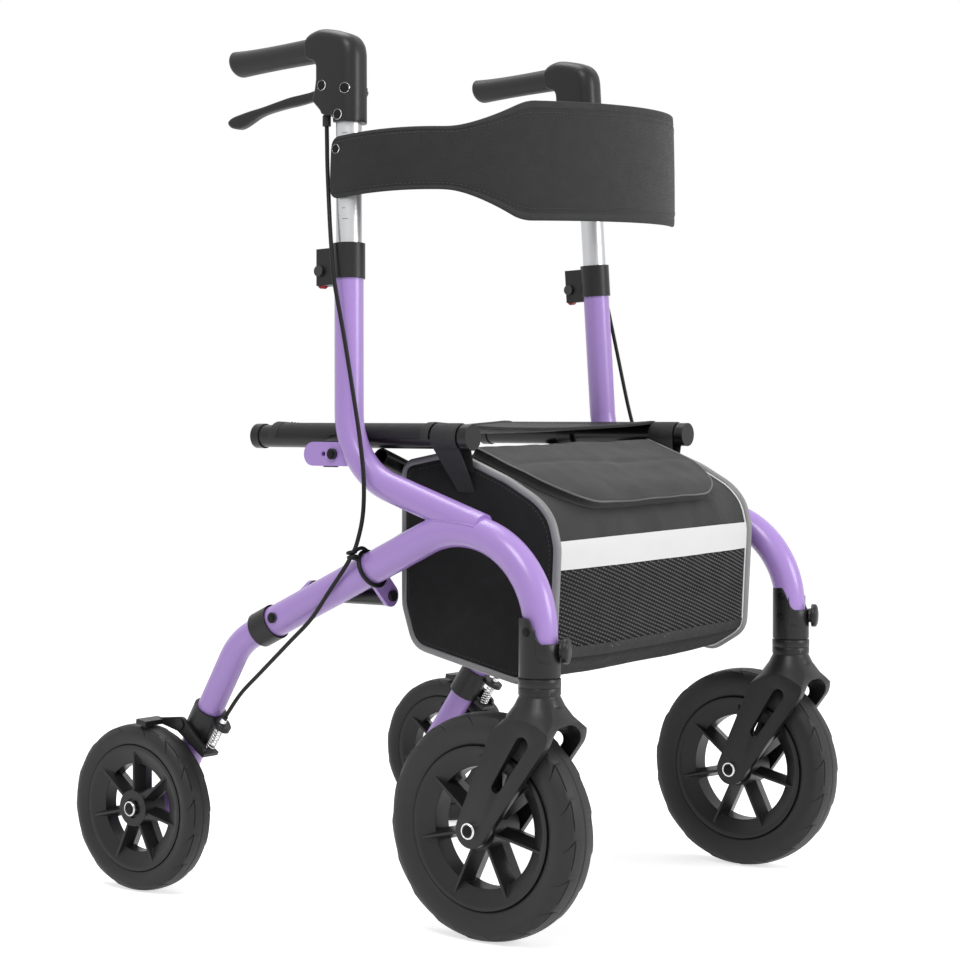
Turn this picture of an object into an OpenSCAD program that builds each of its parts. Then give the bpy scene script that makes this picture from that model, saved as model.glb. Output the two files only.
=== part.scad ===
// All-terrain rollator: two leaning side frames on an X brace that folds sideways,
// large caster wheels in forks in front, braked wheels behind, height-adjustable
// handles, a sling seat, a storage bag and a padded back strap.
// Front is -Y, the user's left is +X, +Z is up. Every side piece is drawn for the
// left side and mirrored for the right.

/* [Wheels] */
// Diameter of a front wheel over its tyre
front_wheel_d = 254; // [236:1:264]
// Width of a front tyre
front_tyre_w = 50; // [46:1:54]
// Diameter of a rear wheel over its tyre
rear_wheel_d = 204; // [196:1:212]
// Width of a rear tyre
rear_tyre_w = 38; // [34:1:42]
// Distance between the front and the rear axles
wheel_base = 508; // [496:1:530]
// Distance between the middles of the front wheels
front_track = 556; // [540:1:580]
// Distance between the middles of the rear wheels
rear_track = 616; // [608:1:640]
// How far a front axle trails its swivel axis
caster_trail = 66; // [58:1:72]
// Number of spokes in a wheel
spoke_count = 7; // [5:1:9]

/* [Side frames] */
// Diameter of the main tube that arches down to the caster
main_tube_d = 38; // [35:0.5:40]
// Diameter of the upright and its brace
upper_tube_d = 34; // [33:0.5:36]
// Diameter of the rear leg
leg_tube_d = 33; // [30:0.5:33]
// Wall of the frame tubes
tube_wall = 1.7; // [1.2:0.1:1.8]
// Inward lean of the side frames, in degrees
side_lean = 2.62; // [2:0.1:3.2]
// Backward rake of the uprights, in degrees
upright_rake = 2.15; // [1:0.1:3]
// Height of the main tube's axis at mid-length
main_tube_z = 373; // [365:1:380]
// Slope of the main tube, in degrees
main_slope = 25.35; // [23:0.5:27]
// Bend radius of the main tube's arch
arch_bend_r = 113; // [100:1:120]
// Place of the knee between upright and brace, along the length
knee_y = -30; // [-36:1:-26]
// Height of the knee
knee_z = 519; // [514:1:524]
// Bend radius of the knee
knee_bend_r = 95; // [80:1:105]
// Slope of the brace, in degrees
brace_slope = 18.1; // [17:0.1:19]
// Height of the upright's top end
upright_top_z = 768; // [755:1:785]
// Place of the rear leg's bend, along the length
leg_knee_y = 132; // [124:1:140]
// Bend radius of the rear leg
leg_bend_r = 85; // [70:1:95]

/* [Fold] */
// Sideways step from a front wheel's middle to the hinge axis of the X brace
hinge_inset = 38; // [36:0.5:42]
// Diameter of the X brace tubes
cross_tube_d = 22; // [19:0.5:24]
// Length of an X brace hinge sleeve
sleeve_l = 112; // [106:1:118]
// Diameter of a hinge pin
hinge_pin_d = 10; // [8:0.5:11]

/* [Seat and bag] */
// Height of the seat rails' axes
seat_rail_z = 556; // [552:1:562]
// Diameter of a seat rail
seat_rail_d = 27; // [25:0.5:28]
// Length of a seat rail
seat_rail_l = 302; // [280:1:320]
// Thickness of the sling
sling_t = 3; // [2:0.5:4]
// How deep the sling hangs in its middle
sling_sag = 9; // [4:1:14]
// Width of the bag
bag_w = 422; // [400:1:430]
// Length of the bag, front to back
bag_l = 213; // [200:1:225]
// Height of the bag
bag_h = 254; // [230:1:262]
// Thickness of the bag's panels
bag_wall = 4; // [3:0.5:6]
// Thickness of the bag's lid
lid_t = 5; // [4:0.5:7]

/* [Handles] */
// Diameter of a handle post
post_d = 30; // [28:0.5:30]
// Length of a handle post
post_l = 368; // [360:1:380]
// How far the right post stands out of its upright
post_out = 238; // [230:1:250]
// How much higher the left handle is set than the right one
left_raise = 21; // [0:1:30]
// Height of a handle body
handle_h = 118; // [112:1:124]
// Length of a handle body, front to back
handle_l = 73; // [70:1:78]
// Width of a handle body
handle_w = 40; // [37:0.5:44]
// Length of a grip
grip_l = 128; // [115:1:140]
// Largest diameter of a grip
grip_d = 36; // [32:0.5:38]
// Thickness of a brake lever
lever_t = 13; // [10:0.5:15]

/* [Back strap] */
// How far the strap stands in front of the posts
strap_reach = 214; // [190:1:230]
// Height of the strap in its middle
strap_h = 138; // [120:1:150]
// Height of the strap at its ends
strap_end_h = 72; // [60:1:80]
// Thickness of the strap
strap_t = 6; // [4:0.5:8]

/* [Brakes] */
// Diameter of a brake cable
cable_d = 5; // [4:0.5:5.5]
// Diameter of a brake spring over its wire
spring_d = 12; // [9:0.5:13]
// Diameter of the spring wire
spring_wire_d = 1.6; // [1.2:0.1:2]
// Number of curls in a brake spring
spring_curls = 8; // [6:1:9]
// Gap between a brake shoe and the tread
shoe_gap = 2.5; // [2:0.1:4]

/* [Hidden] */

right = -1;
left = 1;
$fn = 48;

// Gaps and overruns
overrun = 2;        // how far a cut runs past the face that it opens
slip = 0.3;         // gap between faces that move past each other
snug = 0.15;        // gap between faces of two pieces that stay together
running = 0.05;     // radial play of a shaft in its bore
round_steps = 6;    // straight steps in a rounded corner
arc_steps = 12;     // straight steps in a round end

// Colours
frame_purple = "#b494de";
plastic_black = "#2b2b2d";
rubber_black = "#303032";
fabric_black = "#1f1f21";
post_silver = "#c9cbce";
steel_grey = "#9a9da1";
tab_red = "#b3262b";

// Wheels
front_r = front_wheel_d / 2;
rear_r = rear_wheel_d / 2;
front_x = front_track / 2;
rear_x = rear_track / 2;
front_axle_y = (front_r - rear_r - wheel_base) / 2;
rear_axle_y = front_axle_y + wheel_base;
stem_y = front_axle_y - caster_trail;
front_tyre_h = 36;      // height of a front tyre over its rim's edge
rear_tyre_h = 25;       // height of a rear tyre over its rim's edge
rim_channel = 12;       // depth of the channel that holds the tyre
rim_floor = 11;         // thickness of the rim below its channel
rim_band = 5;           // flat ring of the rim beside the tyre
rim_round = 14;         // rounding between the flat ring and the bowl
dish_share = 0.45;      // depth of the bowl in a rim, of its half width
spoke_bite = 1;         // how deep a spoke's end lies in the bowl
rim_lip = 3;            // width of the rim's edge beside the tyre
tyre_sit = 0.2;         // gap between tyre and rim
front_hub_d = 46;
rear_hub_d = 44;
front_hub_w = 46;
rear_hub_w = 34;
hub_recess_d = 24;      // bearing seat in a hub's face
hub_recess = 3;
axle_d = 12;
spoke_rib = 3;          // thickness of a spoke at a wheel's faces
spoke_web = 13;         // thickness of a spoke at a wheel's middle
spoke_depth_share = 0.4;
crown_share = 0.34;     // flat part of a tyre's tread, of its width
shoulder_share = 0.45;  // how far a tyre's shoulder drops, of its height

// Side frame
bend_lap = 1;           // how far a tube's straight laps over its bend
bend_draw = 0.05;       // how much thinner a tube is in its bend
lean_z = 291;           // height at which a side frame is right above its caster
main_tube_r = main_tube_d / 2;
upper_tube_r = upper_tube_d / 2;
leg_tube_r = leg_tube_d / 2;
main_rear_y = 92;       // rear end of the main tube
brace_reach = 83.5;     // front end of the brace, on the arch, behind the caster's axis
brace_bore_reach = 157.5;
brace_end_y = stem_y + brace_reach;
brace_bore_end_y = stem_y + brace_bore_reach;
stem_end_z = 313;       // lower end of the arch, in the caster housing
leg_top_y = 52;         // upper end of the rear leg, inside the main tube
leg_offset = 46;        // sideways step from a rear wheel's middle to its leg
leg_end = 15;           // length of the leg below its axle
lug_t = 5;
lug_r = 13;
lug_gap = 0.5;
collar_l = 27;
collar_over = 9;        // how far the leg collar reaches past the main tube's end
collar_wall = 2.5;

function unit(v) = v / norm(v);
function side_pt(y, z) = [
  front_x - (z - lean_z) * sin(side_lean), y, lean_z + (z - lean_z) * cos(side_lean)];
function main_z(y) = main_tube_z - y * tan(main_slope);
function main_pt(y) = side_pt(y, main_z(y));
function brace_pt(y) = side_pt(y, knee_z + (y - knee_y) * tan(brace_slope));

plane_out = [cos(side_lean), 0, sin(side_lean)];
knee = side_pt(knee_y, knee_z);
upright_top = side_pt(knee_y + (upright_top_z - knee_z) * tan(upright_rake), upright_top_z);
upright_axis = unit(upright_top - knee);
main_axis = unit(main_pt(0) - main_pt(leg_top_y));
main_line = [main_pt(main_rear_y), main_pt(stem_y), side_pt(stem_y, stem_end_z)];
main_bore = [main_pt(main_rear_y + overrun), main_pt(stem_y), side_pt(stem_y, stem_end_z - overrun)];
upper_line = [upright_top, knee, brace_pt(brace_end_y)];
upper_bore = [upright_top + upright_axis * overrun, knee, brace_pt(brace_bore_end_y)];
leg_x = rear_x - leg_offset;
leg_axle = [leg_x, rear_axle_y, rear_r];
leg_corner = main_pt(leg_knee_y);
leg_axis = unit(leg_corner - leg_axle);
leg_line = [main_pt(leg_top_y), leg_corner, leg_axle - leg_axis * leg_end];
leg_bore = [
  main_pt(leg_top_y - overrun), leg_corner, leg_axle - leg_axis * (leg_end + overrun)];

// Fold
hinge_x = front_x - hinge_inset;
hinge_drop = 1;         // hinge axis below the main tube's axis at mid-length
hinge_z = main_tube_z - hinge_drop;
hinge_pin_r = hinge_pin_d / 2;
cross_r = cross_tube_d / 2;
cross_wall = 2;
sleeve_r = 12;
sleeve_mid_y = -9;
sleeve_front_y = sleeve_mid_y - sleeve_l / 2;
sleeve_rear_y = sleeve_mid_y + sleeve_l / 2;
cross_in = 0.5;         // brace tube inside the end of its sleeve
cross_a_y = sleeve_rear_y - cross_r - cross_in;
cross_b_y = sleeve_front_y + cross_r + cross_in;
pivot_r = 4;
pivot_spacer_r = 8;
pivot_head_r = 7;
pivot_head_t = 3;

// Seat rails and how they sit on the X brace
rail_r = seat_rail_d / 2;
rail_inset = 9;         // rails inside the hinge axes
rail_x = hinge_x - rail_inset;
rail_front_y = -170;
rail_cap_out = 1.5;
rail_cap_r = rail_r + rail_cap_out;
rail_cap_l = 12;
rail_step = rail_r + cross_r + snug;    // from an X brace tube's axis to its rail's axis
rail_dx = rail_x + hinge_x;
rail_dz = seat_rail_z - hinge_z;
cross_l = sqrt(rail_dx * rail_dx + rail_dz * rail_dz - rail_step * rail_step);
cross_angle = atan2(rail_dz, rail_dx) - atan2(rail_step, cross_l);
pivot_z = hinge_z + hinge_x * tan(cross_angle);

// Seat tab, its cradle and bolts
tab_t = 5;
tab_h = 28;
tab_drop = 20;          // middle of the tab below the seat rail's axis
tab_rear_y = 38;
tab_bolt_y = -7;
tab_hole_y = 8;
tab_hole_r = 3;
tab_bolt_r = 4;
bolt_head_r = 6.5;
bolt_head_t = 4;
cradle_w = 22;
cradle_y = 1;
cradle_wall = 5;
cradle_arm_share = 0.55;

// Sling, bag and lid
sling_front_y = -130;
sling_rear_y = 120;
sling_wrap = 125;       // how far the sling wraps over a rail, in degrees
sling_steps = 16;
sling_notch = 1;        // play of a seat cradle in the sling's cut-out
bag_clear = 5;          // bag behind and cross tube in front of each other
bag_drop = 17;          // top of the bag below the rails' axes
bag_rear_y = cross_b_y - cross_r - bag_clear;
bag_top_z = seat_rail_z - bag_drop;
bag_round = 24;
// Outline of the bag seen from its side: share of its length from the rear, share of
// its height from the top, and share of the largest corner radius
bag_shares = [
  [0, 0.05, 0.5], [0, 0.69, 1], [0.07, 0.87, 1], [0.77, 1, 1], [0.97, 0.9, 1],
  [1, 0.4, 0.6], [0.96, 0.28, 1], [0.68, 0.12, 1], [0.33, 0, 0.6]
];
lid_rear_share = 0.36;
lid_front_share = 0.89;
lid_w_share = 0.87;
mouth_rim = 12;         // bag panel under the lid's edge
lid_hem_r = 76;
loop_l = 36;
loop_t = 2.5;
loop_gap = 1.5;         // between the sling's front edge and a bag loop
loop_hang = 62;         // how far a bag loop hangs below its rail's axis

// Posts, clamps and handles
post_r = post_d / 2;
post_wall = 1.6;
clamp_wall = 2;
clamp_r = upper_tube_r + clamp_wall;
clamp_low = 28;         // clamp collar below the upright's top
clamp_high = 13;        // clamp collar above the upright's top
clamp_block_w = 16;
clamp_block_y = 43;     // rear face of the clamp block behind the post's axis
clamp_block_low = 34;
clamp_block_high = 9;
clamp_slot_w = 8;
clamp_slot_l = 12;
clamp_cut_angle = 28;
clamp_pin_r = 2.5;
clamp_pin_y = 37;
clamp_pin_low = 17;     // clamp screw below the upright's top
clamp_lever_t = 7;
clamp_lever_r = 5;
clamp_lever_l = 15;
handle_front = 20;      // front face of a handle body ahead of its post's axis
// Outline of a handle body seen from its side: share of its length, share of its height,
// and corner radius as a share of its length
handle_shares = [
  [0, 0, 0.03], [0.39, 0, 0.02], [0.42, 0.1, 0.02], [0.71, 0.12, 0.03], [0.93, 0.3, 0.06],
  [0.8, 0.45, 0.06], [0.79, 0.64, 0.03], [0.99, 0.81, 0.08], [1, 0.91, 0.08],
  [0.66, 1, 0.25], [0.3, 0.96, 0.4], [0, 0.72, 0.5]
];
handle_edge_share = 0.4;        // rounding of the handle's upper edges, of its width
handle_foot_share = 0.05;       // rounding of the handle's lower edges, of its width
handle_nose_share = 0.97;       // rounding of the handle round its post, of its half width
post_socket_share = 0.72;       // depth of the post in the handle, of the handle's height
// Lower face of a handle body above the upright's top
handle_low = post_out + snug - post_socket_share * handle_h;
lever_pivot_share = [0.616, 0.443];
lever_pin_r = 3;
lever_boss_r = 8;
lever_play = 0.4;
lever_slot_low = 22;    // lever slot below and above its pivot
lever_slot_high = 15;
lever_mid = [52, -12];  // points of the lever's blade, from its pivot
lever_far = [108, -22.5];
lever_tip = [144, -31];
lever_mid_r = 7;
lever_far_r = 6.5;
lever_tip_r = 8;
lever_bend_r = 60;
grip_rise = -1;         // rise of a grip towards its end, in degrees
grip_z_share = 0.8;
grip_root_l = 16;       // round root of the grip on the handle body
grip_root_r = 15.5;
// Outline of a grip: share of its length and share of its largest radius
grip_shares = [
  [0, 0.91], [0.06, 0.93], [0.2, 0.96], [0.45, 1], [0.7, 1], [0.88, 0.98], [0.95, 0.95],
  [0.98, 0.87], [0.995, 0.74], [1, 0.6]
];
boot_r = 5;
boot_l = 20;
boot_drop = 1.5;        // cable boot below the handle's foot
boot_place = [9, 26];   // cable boot from the post's axis

// Back strap
strap_gap = 0.4;        // between strap and post
strap_steps = 40;
strap_tail = 22;        // straight end of the strap beside a post
strap_front_y = -12;    // where the straight ends start to curve, from the post's axis
strap_low = 100;        // strap's middle above the upright's top, on the right
strap_swell = 2;        // rise of the strap's middle over its ends
strap_tail_share = 0.06;
strap_wide_share = 0.38;
strap_narrow_share = 0.6;
strap_ease = 1.5;       // how fast the strap narrows
strap_crown_share = 0.5;

// Caster
housing_r = 23;
housing_low_z = 286;
housing_groove_z = 295.5;
housing_base_z = 297;
housing_ear_z = 372;
housing_cut_z = 352;    // height of the sloping rim above the caster's axis
housing_cut_angle = 38;
groove_depth = 3;
ring_out = 0.5;
socket_gap = 0.2;
stem_r = 8;
stem_l = 20;
knob_r = 12;
knob_l = 11;
knob_z = 330;
fork_gap = 4;           // between fork leg and tyre
fork_leg_t = 9;
fork_collar_h = 26;
fork_flare = 26;
fork_crown_r = 25;
fork_foot_r = 21;
fork_tyre_gap = 6;
fork_arch_drop = 40;     // top of the opening between the legs below the fork's top
fork_arch_r = 24;
fork_slot_r = 6;
fork_slot_shares = [0.34, 0.76];
fork_top_z = housing_low_z - slip;
fork_half_w = front_tyre_w / 2 + fork_gap + fork_leg_t;
axle_head_r = 9;
axle_head_t = 5;

// Brake, set out along the leg: u runs up the leg from the axle, w points up and back
leg_pitch = atan2(rear_axle_y - leg_corner.y, leg_corner.z - rear_r);
bracket_low = 106;
bracket_high = 147;
bracket_r = leg_tube_r + 4;
bracket_arm_t = 6;
bracket_arm_reach = 34;
bracket_arm_r = 9;
bracket_bite = 2;       // how deep an arm's root lies in the sleeve's wall
bracket_x = leg_x + leg_axis.x * (bracket_low + bracket_high) / 2;
arm_gap = 0.5;
arm_t = 5;
arm_x = bracket_r + arm_gap;
arm_pivot = [13, 115];
arm_pivot_r = 9;
arm_pin_r = 4;
arm_hook = [-30, 110];
arm_hook_r = 6;
arm_head_t = 2;
hook_t = 5;
hook_w = 18;
hook_low = 104;
spring_x = 8;
spring_w = -30;
shoe_angle = 24;        // place of the shoe round the wheel, behind the leg, in degrees
shoe_t = 6;
shoe_l = 16;
shoe_root_r = 6;
barrel_r = 3.5;
barrel_l = 10;
spring_rings = 8;       // rings in a curl of the spring
spring_sides = 6;
spring_apart = 5;       // rings from a point to the first that counts for the gap
spring_low = hook_low + hook_t + spring_wire_d / 2 + running;
spring_high = bracket_high - bracket_arm_t - spring_wire_d / 2 - running;

// Route of the left brake cable with both handles level: down outside the upright,
// over the main tube to its tie, then straight to the brake
cable_points = [
  [259, 10, 897], [262, 7, 872], [267, 1, 836], [274, -7, 800], [280, -15, 765],
  [283, -20, 735], [284, -32, 668], [286, -46, 598], [289, -58, 552], [291, -67, 507],
  [294, -69, 467], [297, -64, 432], [298, -52, 408], [298, -24, 377], [296, 4, 345],
  [293, 41, 315], [287, 90, 277], [281, 128, 248], [278, 146, 234], [277, 150, 230]
];
cable_raise_z = 770;    // the cable follows a raised handle above this height
cable_raise_h = 140;
cable_sides = 8;
cable_spacing = 2.6;    // distance between rings, in cable diameters
tie_r = 1.6;
tie_y = -36;
tie_gap = 0.4;
cable_beside = 24.5;    // the cable's axis beside the main tube's axis at the tie

// Repeated shapes

// Matrix that puts the origin at o, the Z axis along z and the X axis near x
function frame_at(o, z, x) =
  let (k = unit(z), i = unit(x - k * (x * k)), j = cross(k, i))
  [[i.x, j.x, k.x, o.x], [i.y, j.y, k.y, o.y], [i.z, j.z, k.z, o.z], [0, 0, 0, 1]];

module place(o, z, x = [1, 0, 0]) {
  multmatrix(frame_at(o, z, x)) children();
}

module on_side(side) {
  if (side == right) mirror([1, 0, 0]) children();
  else children();
}

module rod(a, b, r) {
  place(a, b - a, abs(unit(b - a).x) > cos(45) ? [0, 1, 0] : [1, 0, 0])
    cylinder(h = norm(b - a), r = r);
}

// Cylinder along X, centred on o
module x_rod(o, l, r) {
  translate(o) rotate([0, 90, 0]) cylinder(h = l, r = r, center = true);
}

// Cylinder along Y from a to b
module y_rod(x, z, a, b, r) {
  translate([x, b, z]) rotate([90, 0, 0]) cylinder(h = b - a, r = r);
}

module pipe_bend(p, a, b, bend_r, r) {
  turn = acos(a * b);
  inward = unit(b - a * (a * b));
  middle = p - a * bend_r * tan(turn / 2) + inward * bend_r;
  place(middle, cross(-inward, a), -inward)
    rotate_extrude(angle = turn) translate([bend_r, 0]) circle(r);
}

// Round bar along a line with one bend, whose straights lap over the slightly thinner bend
module bent_bar(line, bend_r, r) {
  a = unit(line[1] - line[0]);
  b = unit(line[2] - line[1]);
  cut = bend_r * tan(acos(a * b) / 2) - bend_lap;
  rod(line[0], line[1] - a * cut, r);
  pipe_bend(line[1], a, b, bend_r, r - bend_draw);
  rod(line[1] + b * cut, line[2], r);
}

// Points of an arc round o from angle a to angle b
function arc(o, r, a, b) = [for (i = [0 : arc_steps])
  o + r * [cos(a + (b - a) * i / arc_steps), sin(a + (b - a) * i / arc_steps)]];

// Flat outline of two circles and their outer tangents
module taper(p, p_r, q, q_r) {
  along = atan2(q.y - p.y, q.x - p.x);
  lift = acos((p_r - q_r) / norm(q - p));
  polygon(concat(arc(q, q_r, along - lift, along + lift),
    arc(p, p_r, along + lift, along - lift + 360)));
}

// Points of a rounded corner at p between its neighbours a and b
function corner(p, a, b, r) =
  let (
    u = unit(a - p), v = unit(b - p), half = acos(u * v) / 2,
    run = min(r / tan(half), norm(a - p) / 2, norm(b - p) / 2),
    true_r = run * tan(half), mid = p + unit(u + v) * true_r / sin(half),
    from = p + u * run - mid, to = p + v * run - mid,
    start = atan2(from.y, from.x), swing = atan2(to.y, to.x) - start,
    turn = swing > 180 ? swing - 360 : swing < -180 ? swing + 360 : swing
  )
  [for (i = [0 : round_steps])
    mid + true_r * [cos(start + turn * i / round_steps), sin(start + turn * i / round_steps)]];

// Outline with rounded corners from rows of [x, y, radius]
function rounded(rows) =
  let (n = len(rows))
  [for (i = [0 : n - 1])
    let (p = [rows[i].x, rows[i].y])
    each rows[i].z == 0 ? [p] :
      corner(p, [rows[(i + n - 1) % n].x, rows[(i + n - 1) % n].y],
        [rows[(i + 1) % n].x, rows[(i + 1) % n].y], rows[i].z)];

// Rows of a closed outline moved inward by d, for rows that run clockwise
function inset(rows, d) =
  let (n = len(rows))
  [for (i = [0 : n - 1])
    let (
      p = [rows[i].x, rows[i].y],
      a = unit(p - [rows[(i + n - 1) % n].x, rows[(i + n - 1) % n].y]),
      b = unit([rows[(i + 1) % n].x, rows[(i + 1) % n].y] - p),
      in_a = [a.y, -a.x], in_b = [b.y, -b.x],
      q = p + (in_a + in_b) * d / (1 + in_a * in_b)
    )
    [q.x, q.y, max(rows[i].z - d, 0)]];

// Extrude an outline drawn in [y, z] along X, centred
module across(w) {
  rotate([90, 0, 90]) linear_extrude(w, center = true) children();
}

// Extrude an outline drawn in [x, z] along Y from front to rear
module lengthwise(front, rear) {
  translate([0, rear, 0]) rotate([90, 0, 0]) linear_extrude(rear - front) children();
}

// Revolve an outline drawn in [radius, x] round the X axis through o
module wheel_turned(o) {
  translate(o) rotate([0, 90, 0]) rotate_extrude() children();
}

// Tube swept through rings of equal count: rings is a list of lists of points
module swept(rings) {
  n = len(rings[0]);
  m = len(rings);
  points = [for (ring = rings) each ring];
  walls = [for (i = [0 : m - 2], j = [0 : n - 1])
    let (a = i * n + j, b = i * n + (j + 1) % n)
    each [[a, b, a + n], [b, b + n, a + n]]];
  low = [for (j = [1 : n - 2]) [0, j + 1, j]];
  high = [for (j = [1 : n - 2]) [(m - 1) * n, (m - 1) * n + j, (m - 1) * n + j + 1]];
  polyhedron(points, concat(walls, low, high));
}

// Ring of points round o, square to d
function ring_at(o, d, r, sides) =
  let (m = frame_at(o, d, abs(unit(d).x) > cos(45) ? [0, 1, 0] : [1, 0, 0]))
  [for (i = [0 : sides - 1])
    let (q = m * [r * cos(-360 * i / sides), r * sin(-360 * i / sides), 0, 1])
    [q.x, q.y, q.z]];

// Side frame pieces

module side_frame(side) {
  color(frame_purple) on_side(side) difference() {
    union() {
      bent_bar(main_line, arch_bend_r, main_tube_r);
      bent_bar(upper_line, knee_bend_r, upper_tube_r);
      hinge_lug(sleeve_front_y - lug_gap - lug_t);
      hinge_lug(sleeve_rear_y + lug_gap);
    }
    bent_bar(main_bore, arch_bend_r, main_tube_r - tube_wall);
    bent_bar(upper_bore, knee_bend_r, upper_tube_r - tube_wall);
    y_rod(hinge_x, hinge_z, sleeve_front_y - lug_t - overrun, sleeve_rear_y + lug_t + overrun,
      hinge_pin_r + snug);
  }
}

// Plate from the main tube to the hinge of the X brace
module hinge_lug(y) {
  tube = main_pt(y + lug_t / 2);
  lengthwise(y, y + lug_t) taper([hinge_x, hinge_z], lug_r, [tube.x, tube.z], lug_r);
}

module seat_tab(side) {
  z = seat_rail_z - tab_drop;
  color(frame_purple) on_side(side) difference() {
    translate([side_pt(0, z).x, 0, z]) rotate([0, -side_lean, 0]) across(tab_t) difference() {
      taper([knee_y, 0], tab_h / 2, [tab_rear_y - tab_h / 2, 0], tab_h / 2);
      translate([tab_bolt_y, 0]) circle(tab_bolt_r + snug);
      translate([tab_hole_y, 0]) circle(tab_hole_r);
    }
    bent_bar(upper_line, knee_bend_r, upper_tube_r + snug);
  }
}

// Plastic rest on the tab that a seat rail drops into
module seat_cradle(side) {
  rest_r = rail_r + slip;
  z = seat_rail_z - tab_drop;
  face = side_pt(0, z).x - tab_t / 2 / cos(side_lean) - slip;
  arm = tab_h * cradle_arm_share;
  low = seat_rail_z - rest_r - cradle_wall;
  color(plastic_black) on_side(side)
    lengthwise(cradle_y - cradle_w / 2, cradle_y + cradle_w / 2) difference() {
      union() {
        translate([rail_x, seat_rail_z]) circle(rest_r + cradle_wall);
        polygon([
          [rail_x, low], [face + arm * tan(side_lean), z - arm],
          [face - arm * tan(side_lean), z + arm], [rail_x + rest_r, seat_rail_z]
        ]);
      }
      translate([rail_x, seat_rail_z]) circle(rest_r);
      translate([rail_x - rest_r - cradle_wall - overrun, seat_rail_z])
        square([2 * (rest_r + cradle_wall + overrun), rest_r + cradle_wall + overrun]);
    }
}

module rear_leg(side) {
  color(frame_purple) on_side(side) difference() {
    bent_bar(leg_line, leg_bend_r, leg_tube_r);
    bent_bar(leg_bore, leg_bend_r, leg_tube_r - tube_wall);
    x_rod(leg_axle, leg_tube_d + overrun, axle_d / 2 + snug);
  }
}

module leg_collar(side) {
  color(plastic_black) on_side(side) difference() {
    rod(main_pt(main_rear_y) - main_axis * collar_over,
      main_pt(main_rear_y) + main_axis * (collar_l - collar_over), main_tube_r + collar_wall);
    rod(main_pt(main_rear_y) - main_axis * snug,
      main_pt(main_rear_y) + main_axis * (collar_l + overrun), main_tube_r + snug);
    rod(main_pt(main_rear_y) - main_axis * (collar_over + overrun),
      main_pt(main_rear_y) + main_axis * overrun, leg_tube_r + snug);
  }
}

// Bolts of one side: hinge pin, seat tab bolt, leg bolt and clamp screw
module side_bolts(side) {
  lug_front = sleeve_front_y - lug_gap - lug_t;
  lug_rear = sleeve_rear_y + lug_gap + lug_t;
  tab_z = seat_rail_z - tab_drop;
  tab = side_pt(0, tab_z);
  leg_bolt_y = main_rear_y - collar_l;
  leg_bolt = main_pt(leg_bolt_y);
  color(steel_grey) on_side(side) {
    y_rod(hinge_x, hinge_z, lug_front, lug_rear, hinge_pin_r);
    y_rod(hinge_x, hinge_z, lug_front - bolt_head_t, lug_front, bolt_head_r);
    y_rod(hinge_x, hinge_z, lug_rear, lug_rear + bolt_head_t, bolt_head_r);
    translate([tab.x, tab_bolt_y, tab_z]) rotate([0, 90 - side_lean, 0]) {
      cylinder(h = tab_t, r = tab_bolt_r, center = true);
      translate([0, 0, tab_t / 2]) cylinder(h = bolt_head_t, r = bolt_head_r);
    }
    place(leg_bolt + plane_out * (main_tube_r + snug), plane_out, [0, 1, 0])
      cylinder(h = bolt_head_t / 2, r = bolt_head_r);
    on_upright() translate([0, clamp_pin_y, -clamp_pin_low]) {
      x_rod([0, 0, 0], clamp_block_w, clamp_pin_r);
      x_rod([(clamp_block_w + bolt_head_t) / 2, 0, 0], bolt_head_t, bolt_head_r);
      x_rod([-(clamp_block_w + bolt_head_t) / 2, 0, 0], bolt_head_t, bolt_head_r);
    }
  }
}

// Frame with its origin at the upright's top, Z along the upright and X outward
module on_upright(up = 0) {
  place(upright_top + upright_axis * up, upright_axis, plane_out) children();
}

// Front wheels and casters

module caster_housing(side) {
  color(plastic_black) on_side(side) difference() {
    union() {
      translate([front_x, stem_y, 0]) rotate_extrude() polygon([
        [0, housing_low_z], [housing_r + ring_out, housing_low_z],
        [housing_r + ring_out, housing_groove_z], [housing_r - groove_depth, housing_groove_z],
        [housing_r - groove_depth, housing_base_z], [housing_r, housing_base_z],
        [housing_r, housing_ear_z], [0, housing_ear_z]
      ]);
      y_rod(front_x, knob_z, stem_y - housing_r - knob_l, stem_y, knob_r);
    }
    translate([front_x, stem_y, housing_cut_z]) rotate([housing_cut_angle, 0, 0])
      translate([-housing_ear_z, -housing_ear_z, 0])
        cube([2 * housing_ear_z, 2 * housing_ear_z, housing_ear_z]);
    bent_bar(main_line, arch_bend_r, main_tube_r + socket_gap);
    translate([front_x, stem_y, housing_low_z - overrun])
      cylinder(h = stem_l + overrun + slip, r = stem_r + running);
  }
}

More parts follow.
